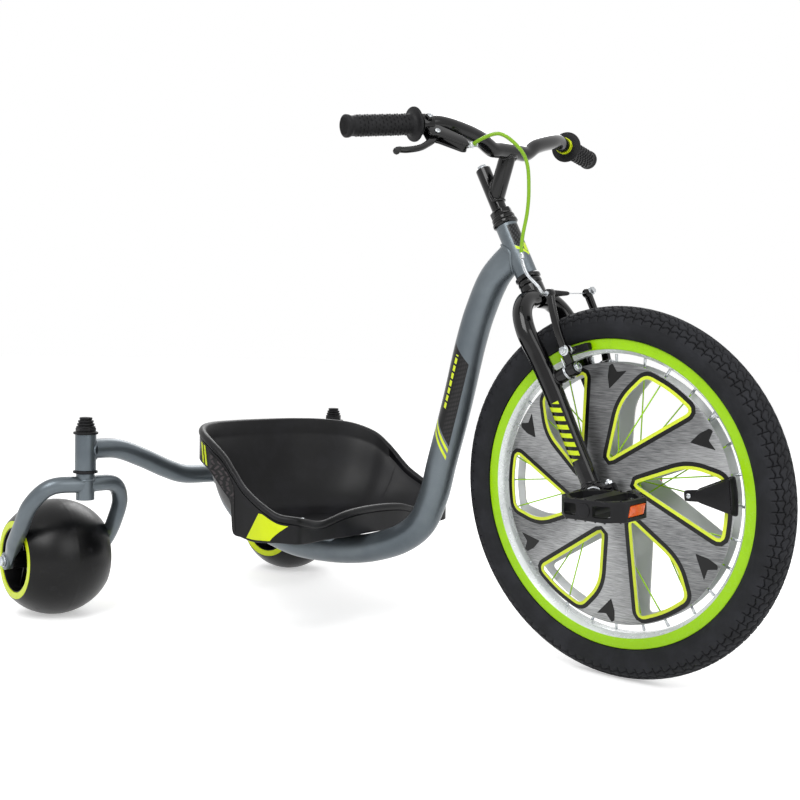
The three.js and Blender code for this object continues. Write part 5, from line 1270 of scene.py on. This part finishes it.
def makeCable():
    # Round sections carried along the route of the housing and the bend of the noodle, both as in the frame
    size = cableSize
    into = np.linalg.inv(steered) @ leverFrame
    begin = [(into @ [x, leverSize.cableUp, 0, 1])[:3] for x in (-leverSize.barrelTo - 0.3, -61.8)]
    path = smoothPath(begin + [np.array(p, float) for p in size.route], 260)
    makePiece("housing", [sweep(path, tubeEnd(path, size.housing, 0.5), 24)], "front_end", "lime_plastic",
              "cable_housing")
    caps = [sweep(ends, tubeEnd(ends, size.housing + 0.5, 0.4), 24) for ends in (path[:10], path[::-1][:10])]
    makePiece("housing_ferrules", caps, "front_end", "bright_zinc")
    bend = smoothPath(size.bend, 90)
    collar = rodY(-53.5, -49.8, (53, 278), 3.6, None, 24, 0.6)
    makePiece("noodle", [sweep(bend, tubeEnd(bend, size.noodle, 0.5), 24), collar], "front_end",
              "bright_zinc", "cable_noodle")
    profile = [(3.1, size.bootFrom)]
    for k in range(8):  # bellows
        y = size.bootFrom + 3 + k * 3.9
        profile += [(5.0 - 0.25 * k, y), (3.7 - 0.15 * k, y + 1.95)]
    profile += [(2.2, size.bootTo), (0.9, size.bootTo)]
    soft = rounded([(0.9, size.bootFrom)] + profile, 1.2, closed=False)
    makePiece("boot", [lathe(np.concatenate([soft, soft[:1]]), 40, "y", (size.forward, 0, size.height))],
              "front_end", "soft_rubber", "cable_boot", sharp=60)
    top = armAt(1, 1)
    wire = np.array([(53, y, 278) for y in np.linspace(-16.5, top[1] + 9, 30)], float)
    crimp = rodY(top[1] + 8.2, top[1] + 9.6, (53, 278), 1.3, None, 12, 0.3)
    makePiece("wire_run", [sweep(wire, tubeEnd(wire, size.wire, 0.3), 10), crimp], "brake_arm_left",
              "bright_zinc", "cable_wire")
    anchor = [rodX(59.7, 61.2, (top[1], 278), 6.0, None, 36, 0.3),
              rodX(61, 65.1, (top[1], 278), 5.0, None, 6, 0.6)]
    makePiece("anchor_bolt", anchor, "brake_arm_left", "bright_zinc")


makeFork()
makeHeadset()
makeBrake()
makeCable()
print("fork and brake made")

# Frame tubes, in the trike's own millimetres

headSize = Sizes(low=334.5, high=416, radius=15.9, bore=13.6)
headAxis = np.array([-math.sin(math.radians(layout.headAngle)), 0, math.cos(math.radians(layout.headAngle))])
hubSpot = np.array([layout.wheelbase, 0, layout.tyreRadius])
headMiddle = hubSpot + headAxis * (headSize.low + headSize.high) / 2

tubeSize = Sizes(
    radius=22.7, tail=125, front=250, foot=130, low=117, boomHeight=222,
    tailShares=[(0, 1), (0.162, 0.651), (0.4, 0.325), (0.681, 0.127), (1, 0)],  # forward, up
    lowShares=[(0.249, 0.908), (0.568, 1), (0.795, 0.682), (1, 0)],  # forward, down
    frontShares=[(0.219, 0.0435), (0.362, 0.1026), (0.4525, 0.2015), (0.507, 0.312), (0.607, 0.507),
                 (0.7025, 0.7165), (0.762, 0.814), (0.86, 0.922), (1, 1)],  # forward, up
)
decalSize = Sizes(foot=(471.9, 273.0), along=(0.2551, 0.9669), half=44)


def mainPath():
    # Points down from the boom, along under the seat, and up behind the tyre
    size = tubeSize
    reach, rise = headMiddle[0], headMiddle[2]
    run = reach - size.tail - size.front
    points = [(size.tail * x, 0, size.foot + z * (size.boomHeight - size.foot))
              for x, z in size.tailShares]
    points += [(size.tail + x * run, 0, size.foot - z * (size.foot - size.low))
               for x, z in size.lowShares]
    points += [(reach + (x - 1) * size.front, 0, size.foot + z * (rise - size.foot))
               for x, z in size.frontShares]
    return np.array(points, float)


def framePaint():
    # Grey paint of the main tube with a black film on each side: masks from the distance up the
    # rising stretch and the angle round it, their ends cut on a slant
    s = Shade("main_tube_paint")
    x, y, z = s.local(ground)
    (px, pz), (ux, uz) = decalSize.foot, decalSize.along
    up = (x - px) * ux + (z - pz) * uz
    out = (x - px) * uz - (z - pz) * ux
    turn = s.maths("ARCTAN2", out, abs(y)) * 57.2958
    t = (turn + decalSize.half) / (2 * decalSize.half)
    inside = s.step(t, -0.012, 0.012) * s.drop(t, 0.988, 1.012)
    level = up + 40 * t

    def band(low, high, rise=0):
        shift = level - rise * t
        return s.step(shift, low - 0.35, low + 0.35) * s.drop(shift, high - 0.35, high + 0.35) * inside

    black = s.step(level, 71.6, 72.4) * s.drop(up + 28 * t, 186.6, 187.4) * inside
    stripes = band(62, 67.5) + band(51, 56.5)
    base, cloud = greyBase(s)
    blocks = s.step(s.sine(up * 0.9 + turn * 0.35) * s.sine(turn * 0.55), 0.1, 0.3)
    mesh = black * s.step(t, 0.52, 0.6) * blocks
    edge = s.step(t, 0.3, 0.33) * s.drop(t, 0.44, 0.47)
    dash = edge * s.step(up, 84, 85) * s.drop(up, 168, 169) * s.step(
        s.sine((up + 9 * t) * 0.55), -0.75, -0.6)
    base = s.mix(black, base, colour(8, 8, 9))
    base = s.mix(mesh, base, colour(34, 32, 34))
    base = s.mix(s.least(stripes + dash * black), base, colour(206, 222, 44))
    film = s.least(black + stripes)
    greyPaint(s, base, cloud, film)


def headPaint():
    # Grey paint of the head tube with a black panel and a yellow-green corner on each side
    s = Shade("head_tube_paint")
    x, y, z = s.local(column)
    turn = s.maths("ARCTAN2", abs(y), x) * 57.2958
    base, cloud = greyBase(s)
    inside = s.drop(turn, 61, 62)
    slant = z - 0.22 * turn
    black = inside * s.step(slant, 366, 366.6) * s.drop(z, 411, 411.6)
    corner = inside * s.step(slant, 360, 360.6) * s.drop(slant, 365, 365.6)
    corner = s.least(corner + black * s.drop(turn, 15, 16) * s.drop(z, 380, 381))
    blocks = black * s.step(s.sine(z * 0.9) * s.sine(turn * 0.3 + z * 0.4), 0.1, 0.3)
    base = s.mix(black, base, colour(13, 13, 14))
    base = s.mix(blocks, base, colour(52, 54, 56))
    base = s.mix(corner, base, colour(190, 216, 36))
    film = s.least(black + corner)
    greyPaint(s, base, cloud, film)


framePaint()
headPaint()


def makeHeadTube():  # plain turned ring along the steering axis
    size = headSize
    ring = ringPart(size.bore, size.radius, size.low, size.high, 0.5, segments=96, axis="z")
    makePiece("head_tube_body", [ring], "frame", "head_tube_paint", "head_tube", place=column, sharp=30)


def endSeam(end, along, wide, tall, centre, axis, radius):
    # Where lines round an oval tube, run on from its end, come to a radius from an axis
    level = np.array([0, 1, 0])
    over = np.cross(along, level)
    return [meet(end - along * 60 + wide * c * level + tall * s * over, along, centre, axis, radius)
            for c, s in zip(*circle(89))]


def makeMainTube():
    # Round tube squeezed flat at the boom and narrow at the head tube, with a bead of weld at both
    size = tubeSize
    path = smoothPath(mainPath(), 420)
    run = runAlong(path)
    keep = (run > 5) & (run < run[-1] - 6)
    path, run = path[keep], run[keep]
    tail = np.clip(run / 55, 0, 1)
    nose = np.clip((run[-1] - run) / 62, 0, 1)
    lateral = size.radius - 7.3 * (1 - ease(nose))
    tall = size.radius - 7.6 * (1 - ease(tail))
    parts = [sweep(path, lateral, 72, flat=tall / lateral)]
    along = unit(path[-1] - path[-6])
    seam = endSeam(path[-1], along, 15.4, size.radius, headMiddle, headAxis, headSize.radius)
    back = unit(path[0] - path[5])
    joint = endSeam(path[0], back, 22.6, 15.3, np.array([0, 0, size.boomHeight], float),
                    np.array([0, 1.0, 0]), 15.7)
    parts += [bead(seam, 2.6, 12), bead(joint, 2.5, 12)]
    makePiece("main_tube_body", parts, "frame", "main_tube_paint", "main_tube")


boomSize = Sizes(
    radius=15.7, height=222, end=277, half=295, sleeve=16.2, sleeveLow=244.3, sleeveHigh=300.7,
    shares=[(0.13, 0), (0.325, 0.07), (0.444, 0.27), (0.627, 0.67), (0.8, 0.97)],  # out, up
)


def makeBoom():
    # One bent tube from sleeve to sleeve, welded round each
    size = boomSize
    half = [(0, size.half * out, size.height + up * (size.end - size.height)) for out, up in size.shares]
    half.append((0, size.half, size.end))
    points = [(x, -y, z) for x, y, z in half[::-1]] + half
    path = smoothPath(points, 320)
    path = path[np.abs(path[:, 1]) < size.half - 11]
    parts = [sweep(path, size.radius, 56)]
    for side in (-1, 1):
        sleeve = ringPart(13.5, size.sleeve, size.sleeveLow, size.sleeveHigh, 0.7, segments=64, axis="z",
                          centre=(0, side * size.half, 0))
        seam = []
        for c, s in zip(*circle(71)):
            out = size.half - math.sqrt(size.sleeve ** 2 - (15.2 * c) ** 2) + 0.2
            seam.append((15.4 * c, side * out, size.end - 0.8 + 15.4 * s))
        parts += [sleeve, bead(seam, 1.9)]
    makePiece("rear_boom_tube", parts, "frame", "satin_grey_paint", "rear_boom")


bracketSize = Sizes(rear=165, front=284, half=22, top=153.2, depth=21, thick=4, bolts=(187, 262))


def makeBracket():
    # Folded channel over the tube: top plate, two cheeks with slanted ends, and weld along each foot
    size = bracketSize
    low = size.top - size.depth
    plate = slab(rounded([(size.rear, -size.half), (size.front, -size.half),
                          (size.front, size.half), (size.rear, size.half)], 7, 5),
                 size.top - size.thick, size.top, 0.9)
    parts = [plate]
    for side in (-1, 1):
        cheek = rounded([(size.rear + 1, size.top - 1.2), (size.front - 1, size.top - 1.2),
                         (size.front - 1, low + 8), (size.front - 12, low), (size.rear + 12, low),
                         (size.rear + 1, low + 8)], 4, 4)
        parts.append(slab(cheek, side * (size.half - size.thick), side * (size.half - 0.2), 0.9,
                          axes=(0, 2, 1)))
        xs = np.linspace(size.rear + 16, size.front - 16, 60)
        seam = np.stack([xs, np.full(60, side * (size.half - 4.4)), np.full(60, low + 1.2)], axis=1)
        parts.append(sweep(seam, 1.9 + 0.2 * np.abs(np.sin(np.arange(60) * 1.3)), 10))
    makePiece("seat_saddle", parts, "frame", "satin_grey_paint", "seat_bracket")
    for name, x in zip(("rear", "front"), size.bolts):
        face = size.top + 4.1
        head = turnedPart([(0, face), (7, face), (7, face + 1.8), (4.6, face + 3), (0, face + 3)], 0.6,
                          segments=48, axis="z", centre=(x, 0, 0))
        shank = rodZ(size.top - 8, face + 0.5, (x, 0), 2.9)
        made = makePiece(f"seat_bolt_head_{name}", [head, shank], "frame", "bright_zinc", f"seat_bolt_{name}")
        carve(made, [[rodZ(face + 1.3, face + 6, (x, 0), 2.4, None, 6, 0.1)]], ground, True)


makeHeadTube()
makeMainTube()
makeBoom()
makeBracket()
print("frame tubes made")

# Seat

seatSize = Sizes(
    back=55, length=309, half=206, height=164.5, under=153.5, centre=215, wall=3.5,
    outline=[  # forward, out, rim height and skirt height, from the back to the front
        (0, 0, 1, 0.68), (0.015, 0.26, 1, 0.68), (0.06, 0.5, 1, 0.68), (0.16, 0.74, 0.99, 0.68),
        (0.28, 0.91, 0.955, 0.67), (0.41, 0.99, 0.87, 0.59), (0.51, 1, 0.75, 0.43),
        (0.57, 1.01, 0.65, 0.33), (0.59, 1.01, 0.615, 0.06), (0.65, 1.02, 0.515, 0.035),
        (0.735, 1.03, 0.42, 0.015), (0.81, 1.03, 0.35, 0.02), (0.885, 1, 0.28, 0.03),
        (0.955, 0.92, 0.255, 0.02), (0.955, 0.8, 0.22, 0.01), (0.93, 0.6, 0.18, 0.005),
        (0.94, 0.35, 0.24, 0.005), (0.935, 0, 0.26, 0.005)],
    columns=300,
)


def seatOutline():
    # Smooth closed loop through the outline's points: x and y from the bowl's centre, rim and skirt heights
    size = seatSize
    half = [(size.back + f * size.length - size.centre, out * size.half, rim * size.height,
             skirt * size.height) for f, out, rim, skirt in size.outline]
    points = half + [(x, -y, rim, skirt) for x, y, rim, skirt in half[-2:0:-1]]
    return smoothPath(np.array(points), size.columns, closed=True)


def makeSeat():
    # Rings that scale the outline towards the bowl's centre: up the bowl, over a rolled rim of a round
    # section, down the skirt, and back under the bowl
    size = seatSize
    loop = seatOutline()
    reach = np.hypot(loop[:, 0], loop[:, 1])
    rim, skirt = loop[:, 2], loop[:, 3]
    wall = size.wall

    def ring(share, inset, height):
        scale = share - inset / reach
        return np.stack([size.centre + loop[:, 0] * scale, loop[:, 1] * scale, size.under + height], axis=1)

    def bowl(share):  # height of the bowl's skin, as a share of the rise to the rim
        knots = [0, 0.36, 0.48, 0.62, 0.7, 0.78, 0.84, 0.89, 0.95, 1]
        return np.interp(share, knots, [0, 0, 0.012, 0.062, 0.14, 0.265, 0.42, 0.59, 0.9, 1])

    shares = np.concatenate([np.linspace(0.02, 0.42, 8), np.linspace(0.45, 0.955, 40)])
    soft = np.convolve(np.pad(bowl(shares), 3, mode="edge"), np.ones(7) / 7, "valid")
    inside = [ring(share, 0, wall + rise * (rim - wall - 3)) for share, rise in zip(shares, soft)]
    turns = np.linspace(np.radians(155), np.radians(-60), 16)
    rolled = [ring(1, 6.2 - 6.2 * math.cos(a), rim - 6.2 + 6.2 * math.sin(a)) for a in turns]
    lower = np.minimum(skirt, rim - 14)
    skirtTop = rim - 12
    down = [ring(1, 1.6, skirtTop + (lower - skirtTop) * t) for t in np.linspace(0.0, 1, 12)]
    lip = [ring(1, 1.8, lower - 0.6), ring(1, 3.2, lower - 1.2), ring(1, 4.6, lower - 0.4)]
    up = [ring(1, 5.0, lower + (skirtTop - 2 - lower) * t) for t in np.linspace(0.08, 1, 8)]
    beneath = []
    for share, rise in zip(shares[::-1][2:], soft[::-1][2:]):
        height = np.minimum(rise * (rim - wall - 3) - wall * 0.2 * (rise > 0), skirtTop - 3)
        beneath.append(ring(share, -1.0 if share > 0.6 else 0, height * (rise > 0)))
    rings = inside + rolled + down + lip + up + beneath
    makePiece("seat_shell", [loft(rings)], "frame", "moulded_black", "seat", sharp=50)
    return loop, ring


def sideFilm(name, start, end, low, high, slant, finish, cap=200):
    # Thin film on the skirt between two places along the outline, its ends cut on a slant
    size = seatSize
    rim, skirt = seatLoop[:, 2], seatLoop[:, 3]
    forward = (seatLoop[:, 0] + size.centre - size.back) / size.length
    for label, side in sides:
        mine = np.flatnonzero((seatLoop[:, 1] * side > 0.9 * size.half) & (forward < 0.95))
        mine = mine[np.argsort(forward[mine])]
        top = np.minimum(rim - 13.5, cap)
        grid = np.zeros((44, 10, 3))
        for row, share in enumerate(np.linspace(low, high, 10)):
            line = seatRing(1, 1.0, skirt + (top - skirt) * share)[mine]
            at = np.linspace(start, end, 44) + slant * (share - 0.5)
            for k in range(3):
                grid[:, row, k] = np.interp(at, forward[mine], line[:, k])
        back = grid.copy()
        back[:, :, 1] -= side * 1.0
        shell = np.concatenate([grid, back[:, ::-1]], axis=1)
        makePiece(f"{name}_{label}", [loft(shell)], "frame", finish, sharp=30)


def patternFilm():
    # Dark film with a faint grid of bars, told apart by position along and up the side
    s = Shade("side_pattern_film")
    x, z = s.local(ground)[::2]
    bars = s.step(s.sine(x * 0.42 + s.sine(z * 0.5) * 1.4) * s.sine(z * 0.42), 0.16, 0.3)
    spread = s.step(s.noise(16, 2), 0.42, 0.5)
    base = s.mix(bars * spread, colour(10, 10, 11), colour(58, 52, 54))
    s.finish(base, 0.34 + 0.1 * bars, 0.0, 0.2, 0.2, s.bump(s.noise(260, 2), 0.06, 0.0003))


patternFilm()
seatLoop, seatRing = makeSeat()
sideFilm("skirt_film", 0.4, 0.6, 0.08, 0.9, -0.02, "side_pattern_film")
sideFilm("skirt_stripe_rear", 0.315, 0.333, 0.1, 0.95, -0.03, "stripe_paint")
sideFilm("skirt_stripe_front", 0.351, 0.369, 0.1, 0.95, -0.03, "stripe_paint")
sideFilm("skirt_panel", 0.735, 0.885, 0.06, 0.97, 0.09, "stripe_paint", 46)
print("seat made")

# Casters, each in its own frame with the pin as Z

casterSize = Sizes(
    trail=108, ball=94, halfWidth=69, recess=34, axle=6, head=9.5, headThick=6, spread=80.5,
    flat=5, eye=14, arm=12.7, armHeight=222, stem=14.2, stemLow=198,
    pin=9.5, bushFlange=19, bushThick=3.7, sleeveLow=244, sleeveHigh=301,
    slim=0.985,  # keeps the finer hoop and ball inside the solids' box
    shares=[(0.09, 0.66, 0.98), (0.28, 0.94, 0.77), (0.56, 1, 0.43)],  # back, out, up from the axle
    band=[(51.8, 67.0), (51.8, 68.8), (52.8, 69.3), (61.8, 69.3), (62.7, 68.6), (62.7, 67.0)],
)


def makeCasterFork(name):
    # Bent tube over the ball, flattened into an eye at each end, with the stem and its pin welded on top
    size = casterSize
    half = [(-back * size.trail, out * size.spread, size.ball + up * (size.armHeight - size.ball))
            for back, out, up in size.shares]
    end = np.array([-size.trail, size.spread, size.ball])
    half = [np.array(p) for p in half] + [half[-1] + (end - half[-1]) * 0.55, end]
    flip = np.array([1, -1, 1])
    path = smoothPath([p * flip for p in half[::-1]] + [np.array([0, 0, size.armHeight])] + half, 260)
    run = runAlong(path)
    near = np.minimum(run, run[-1] - run)
    t = ease(np.clip(near / 46, 0, 1))
    along, wide, tall = frameAlong(path)
    toward = np.array([0, 1, 0]) - along * along[:, 1:2]
    spin = np.arctan2(np.sum(toward * tall, axis=1), np.sum(toward * wide, axis=1))
    ends = near < 70  # where the tube is round its section turns evenly from one end to the other
    spin = np.interp(run, run[ends], np.unwrap(spin[ends]))[:, None]
    inwards = np.cos(spin) * wide + np.sin(spin) * tall
    across = np.cross(along, inwards)
    c, s = [v[None, :, None] for v in circle(48)]
    thin = (size.flat + (size.arm - size.flat) * t)[:, None, None]
    broad = (size.eye - 0.3 + (size.arm - size.eye + 0.3) * t)[:, None, None]
    grid = path[:, None, :] + thin * c * inwards[:, None, :] + broad * s * across[:, None, :]
    grid[..., 1] *= size.slim
    parts = [loft(grid)]
    for side in (-1, 1):
        parts.append(discPart(size.eye, side * size.spread - size.flat, side * size.spread + size.flat, 1.6,
                              segments=56, centre=(-size.trail, 0, size.ball)))
    stemTop = size.sleeveLow - size.bushThick - 0.3
    parts.append(discPart(size.stem, size.stemLow, stemTop, 1.4, segments=56, axis="z"))
    parts.append(rodZ(226, 322, (0, 0), size.pin - 0.1, None, 40, 1))
    seam = [(14.3 * c, 14.3 * s, 226 + 6.5 * abs(c) - 2) for c, s in zip(*circle(79))]
    parts.append(bead(seam, 1.7))
    makePiece(f"caster_hoop_{name}", parts, f"caster_{name}", "satin_grey_paint", f"caster_fork_{name}",
              sharp=45)


def makeCasterBushes(name, side):
    # Turned flanges below and above the sleeve, and the liner through it
    size = casterSize
    low, high, thick = size.sleeveLow, size.sleeveHigh, size.bushThick
    place = ground @ moved(0, side * layout.halfTrack, 0)
    parts = [
        ringPart(9.9, size.bushFlange, low - thick, low, 0.9, segments=64, axis="z"),
        ringPart(9.9, size.bushFlange, high, high + thick, 0.9, segments=64, axis="z"),
        ringPart(9.9, 12.9, low - 1, high + 1, 0.3, segments=48, axis="z")]
    makePiece(f"bush_{name}", parts, "frame", "moulded_black", f"caster_bush_{name}", place=place)


def makeCasterCap(name):
    # Stepped cone of cap over a nut, grooved between its steps
    low = casterSize.sleeveHigh + casterSize.bushThick + 0.3
    nut = slab(rounded(15.9 * np.stack(circle(6), axis=1), 1.4, 3), low, low + 6, 0.9)
    profile = [(0, low + 1)]
    for k, wide in enumerate((14.6, 13.2, 11.8, 9.8)):
        profile += [(wide, low + 5.6 + 4.5 * k), (wide, low + 8.4 + 4.5 * k), (wide - 3, low + 8.9 + 4.5 * k)]
    profile += [(0, low + 22.9)]
    cap = lathe(rounded(profile, 0.5, 3, closed=False), 64, "z")
    makePiece(f"caster_cap_{name}", [nut, cap], f"caster_{name}", "moulded_black", f"caster_nut_{name}",
              sharp=30)


def makeBall(name):
    # Sphere cut flat at both sides, each side a raised lime ring round a deep recess with ribs
    size = casterSize
    centre = (-size.trail, 0, size.ball)
    widest = math.asin(size.halfWidth / size.ball)
    turn = np.linspace(-widest, widest, 72)
    parting = 0.35 * np.exp(-(np.degrees(turn) / 0.7) ** 2)
    r, y = (size.ball - 0.35 + parting) * np.cos(turn), (size.ball - 0.35) * np.sin(turn)
    floor = size.halfWidth - size.recess
    edge = r[-1]
    side = [(edge - 1.6, 69.0), (edge - 2.6, 68.2), (edge - 3.4, 67.4), (51.8, 67.4), (51.2, 67.9),
            (50.4, 67.6), (50.0, 66.5), (49.6, floor + 1.5), (48.4, floor), (16.5, floor),
            (14.6, floor + 1.2), (13.6, 60), (13.4, 74.2), (12.8, 74.9), (6.4, 74.9)]
    profile = [(a, b) for a, b in zip(r, y)] + side + [(a, -b) for a, b in side[::-1]]
    skin = lathe(profile + [profile[0]], 144, "y", centre)
    skin = ((skin[0] - centre) * [size.slim, 1, 1] + centre, skin[1])
    ribs = []
    for face in (-1, 1):
        for k in range(8):
            a = 2 * math.pi * (k + 0.5) / 8
            c, s = math.cos(a), math.sin(a)
            rib = slab([(12.5, -1.4), (49.4, -1.4), (49.4, 1.4), (12.5, 1.4)], face * (floor - 0.5),
                       face * (floor + 16), 0.7, axes=(0, 2, 1))
            ribs.append((rib[0] @ np.array([[c, 0, s], [0, 1, 0], [-s, 0, c]]) + centre, rib[1]))
    makePiece(f"ball_shell_{name}", [skin] + ribs, f"ball_{name}", "ball_black", f"ball_{name}", sharp=32)
    closed = []
    for face in (-1, 1):
        points = lathe(rounded(size.band, 0.4, 3) * [1, face], 144, "y", centre)[0]
        closed.append(patchFrom(points.reshape(-1, 144, 3), loopRows=True))
    makePiece(f"ball_ring_{name}", closed, f"ball_{name}", "stripe_paint")


def makeBallAxle(name):
    # Rod through both eyes, with a washer and a hexagon head at each end
    size = casterSize
    face = size.spread + size.flat + 0.3
    x, z = -size.trail, size.ball
    parts = [rodY(-face, face, (x, z), size.axle - 0.1)]
    for side in (-1, 1):
        parts.append(rodY(side * face, side * (face + 1.4), (x, z), size.head - 0.2, None, 40, 0.3))
        parts.append(rodY(side * (face + 1.2), side * (face + size.headThick), (x, z), size.head - 1.1,
                          None, 6, 0.8))
    parts.append(rodY(face + 3, face + 5.9, (x, z), size.axle - 1, None, 24, 0.6))
    makePiece(f"ball_bolt_{name}", parts, f"caster_{name}", "bright_zinc", f"ball_axle_{name}")


for casterName, casterSide in sides:
    makeCasterFork(casterName)
    makeCasterBushes(casterName, casterSide)
    makeCasterCap(casterName)
    makeBall(casterName)
    makeBallAxle(casterName)
print("casters made")

# CAD nodes that stay as they are take their finish here
slotOf = {part["node"]: part["material_slot"] for part in frame["record"]["subparts"]}
for name, node in frame["nodes"].items():
    node.data.materials.clear()
    node.data.materials.append(finishes[plainFinish[slotOf[name]]])
print("carried-over nodes finished")

# Studio: pale floor, large soft lamps, camera where the photograph was taken
studio = Sizes(
    camera=(1487.646, -1434.234, 437.516),  # millimetres from the ground between the caster pins
    right=(0.7933, 0.6085, 0.0217), up=(-0.0417, 0.0187, 0.999), focal=1162.867, frameWidth=800,
    floorSize=80, floorColour=(0.9, 0.9, 0.9, 1), floorGlow=(0.42, 0.42, 0.42, 1), skyStrength=0.62,
)


def makeStudio():
    # Camera turned by its right and up vectors, made square; each lamp faces its aim
    scene = bpy.context.scene
    scene.view_settings.view_transform = "Standard"
    camera = bpy.data.objects.new("camera", bpy.data.cameras.new("camera"))
    scene.collection.objects.link(camera)
    right, up = unit(np.array(studio.right)), np.array(studio.up)
    up = unit(up - right * (up @ right))
    place = np.eye(4)
    place[:3] = np.stack([right, up, np.cross(right, up), inMetres(studio.camera, ground)], axis=1)
    camera.matrix_world = Matrix(place.tolist())
    camera.data.sensor_width = 36
    camera.data.lens = studio.focal / studio.frameWidth * 36
    camera.data.clip_start, camera.data.clip_end = 0.05, 60
    scene.camera = camera

    # What the camera, glossy and clear surfaces see is white; the floor keeps the shadow on it
    paper = Shade("studio_floor")
    tone = paper.mix(paper.noise(3, 2) * 0.02, studio.floorColour, (0.88, 0.88, 0.88, 1))
    glow = paper.mix(paper.seen(), (0, 0, 0, 1), studio.floorGlow)
    surface = paper.node("ShaderNodeBsdfPrincipled", {
        "Base Color": tone, "Roughness": 0.9, "Emission Color": glow, "Emission Strength": 1.0})
    paper.node("ShaderNodeOutputMaterial", {"Surface": surface})
    half = studio.floorSize / 2
    sheet = bpy.data.meshes.new("studio_floor")
    sheet.from_pydata([(-half, -half, 0), (half, -half, 0), (half, half, 0), (-half, half, 0)], [],
                      [(0, 1, 2, 3)])
    sheet.materials.append(paper.material)
    floor = bpy.data.objects.new("studio_floor", sheet)
    scene.collection.objects.link(floor)

    sky = Shade("studio_sky", bpy.data.worlds)
    lit = sky.node("ShaderNodeBackground", {"Color": (1, 1, 1, 1), "Strength": studio.skyStrength})
    white = sky.node("ShaderNodeBackground", {"Color": (1, 1, 1, 1), "Strength": 1.0})
    both = sky.node("ShaderNodeMixShader", {0: sky.seen(), 1: lit, 2: white})
    sky.node("ShaderNodeOutputWorld", {"Surface": both})
    scene.world = sky.material

    lamps = {  # place, aim, size and power
        "key": ((0.6, -2.6, 2.9), (0, 0, 0.3), 2.0, 82), "fill": ((3.0, -0.6, 1.8), (0, 0, 0.3), 2.0, 30),
        "rim": ((-1.8, 2.4, 2.4), (0, 0, 0.3), 1.8, 40),
    }
    for name, (spot, aim, size, power) in lamps.items():
        lamp = bpy.data.lights.new(name, "AREA")
        lamp.size, lamp.energy = size, power
        made = bpy.data.objects.new(name, lamp)
        made.location = spot
        toward = unit(np.array(aim, float) - np.array(spot, float))
        across = unit(np.cross(toward, (0, 0, 1)))
        facing = Matrix(np.stack([across, np.cross(across, toward), -toward], axis=1).tolist())
        made.rotation_euler = facing.to_euler()
        scene.collection.objects.link(made)


makeStudio()
print("studio ready")
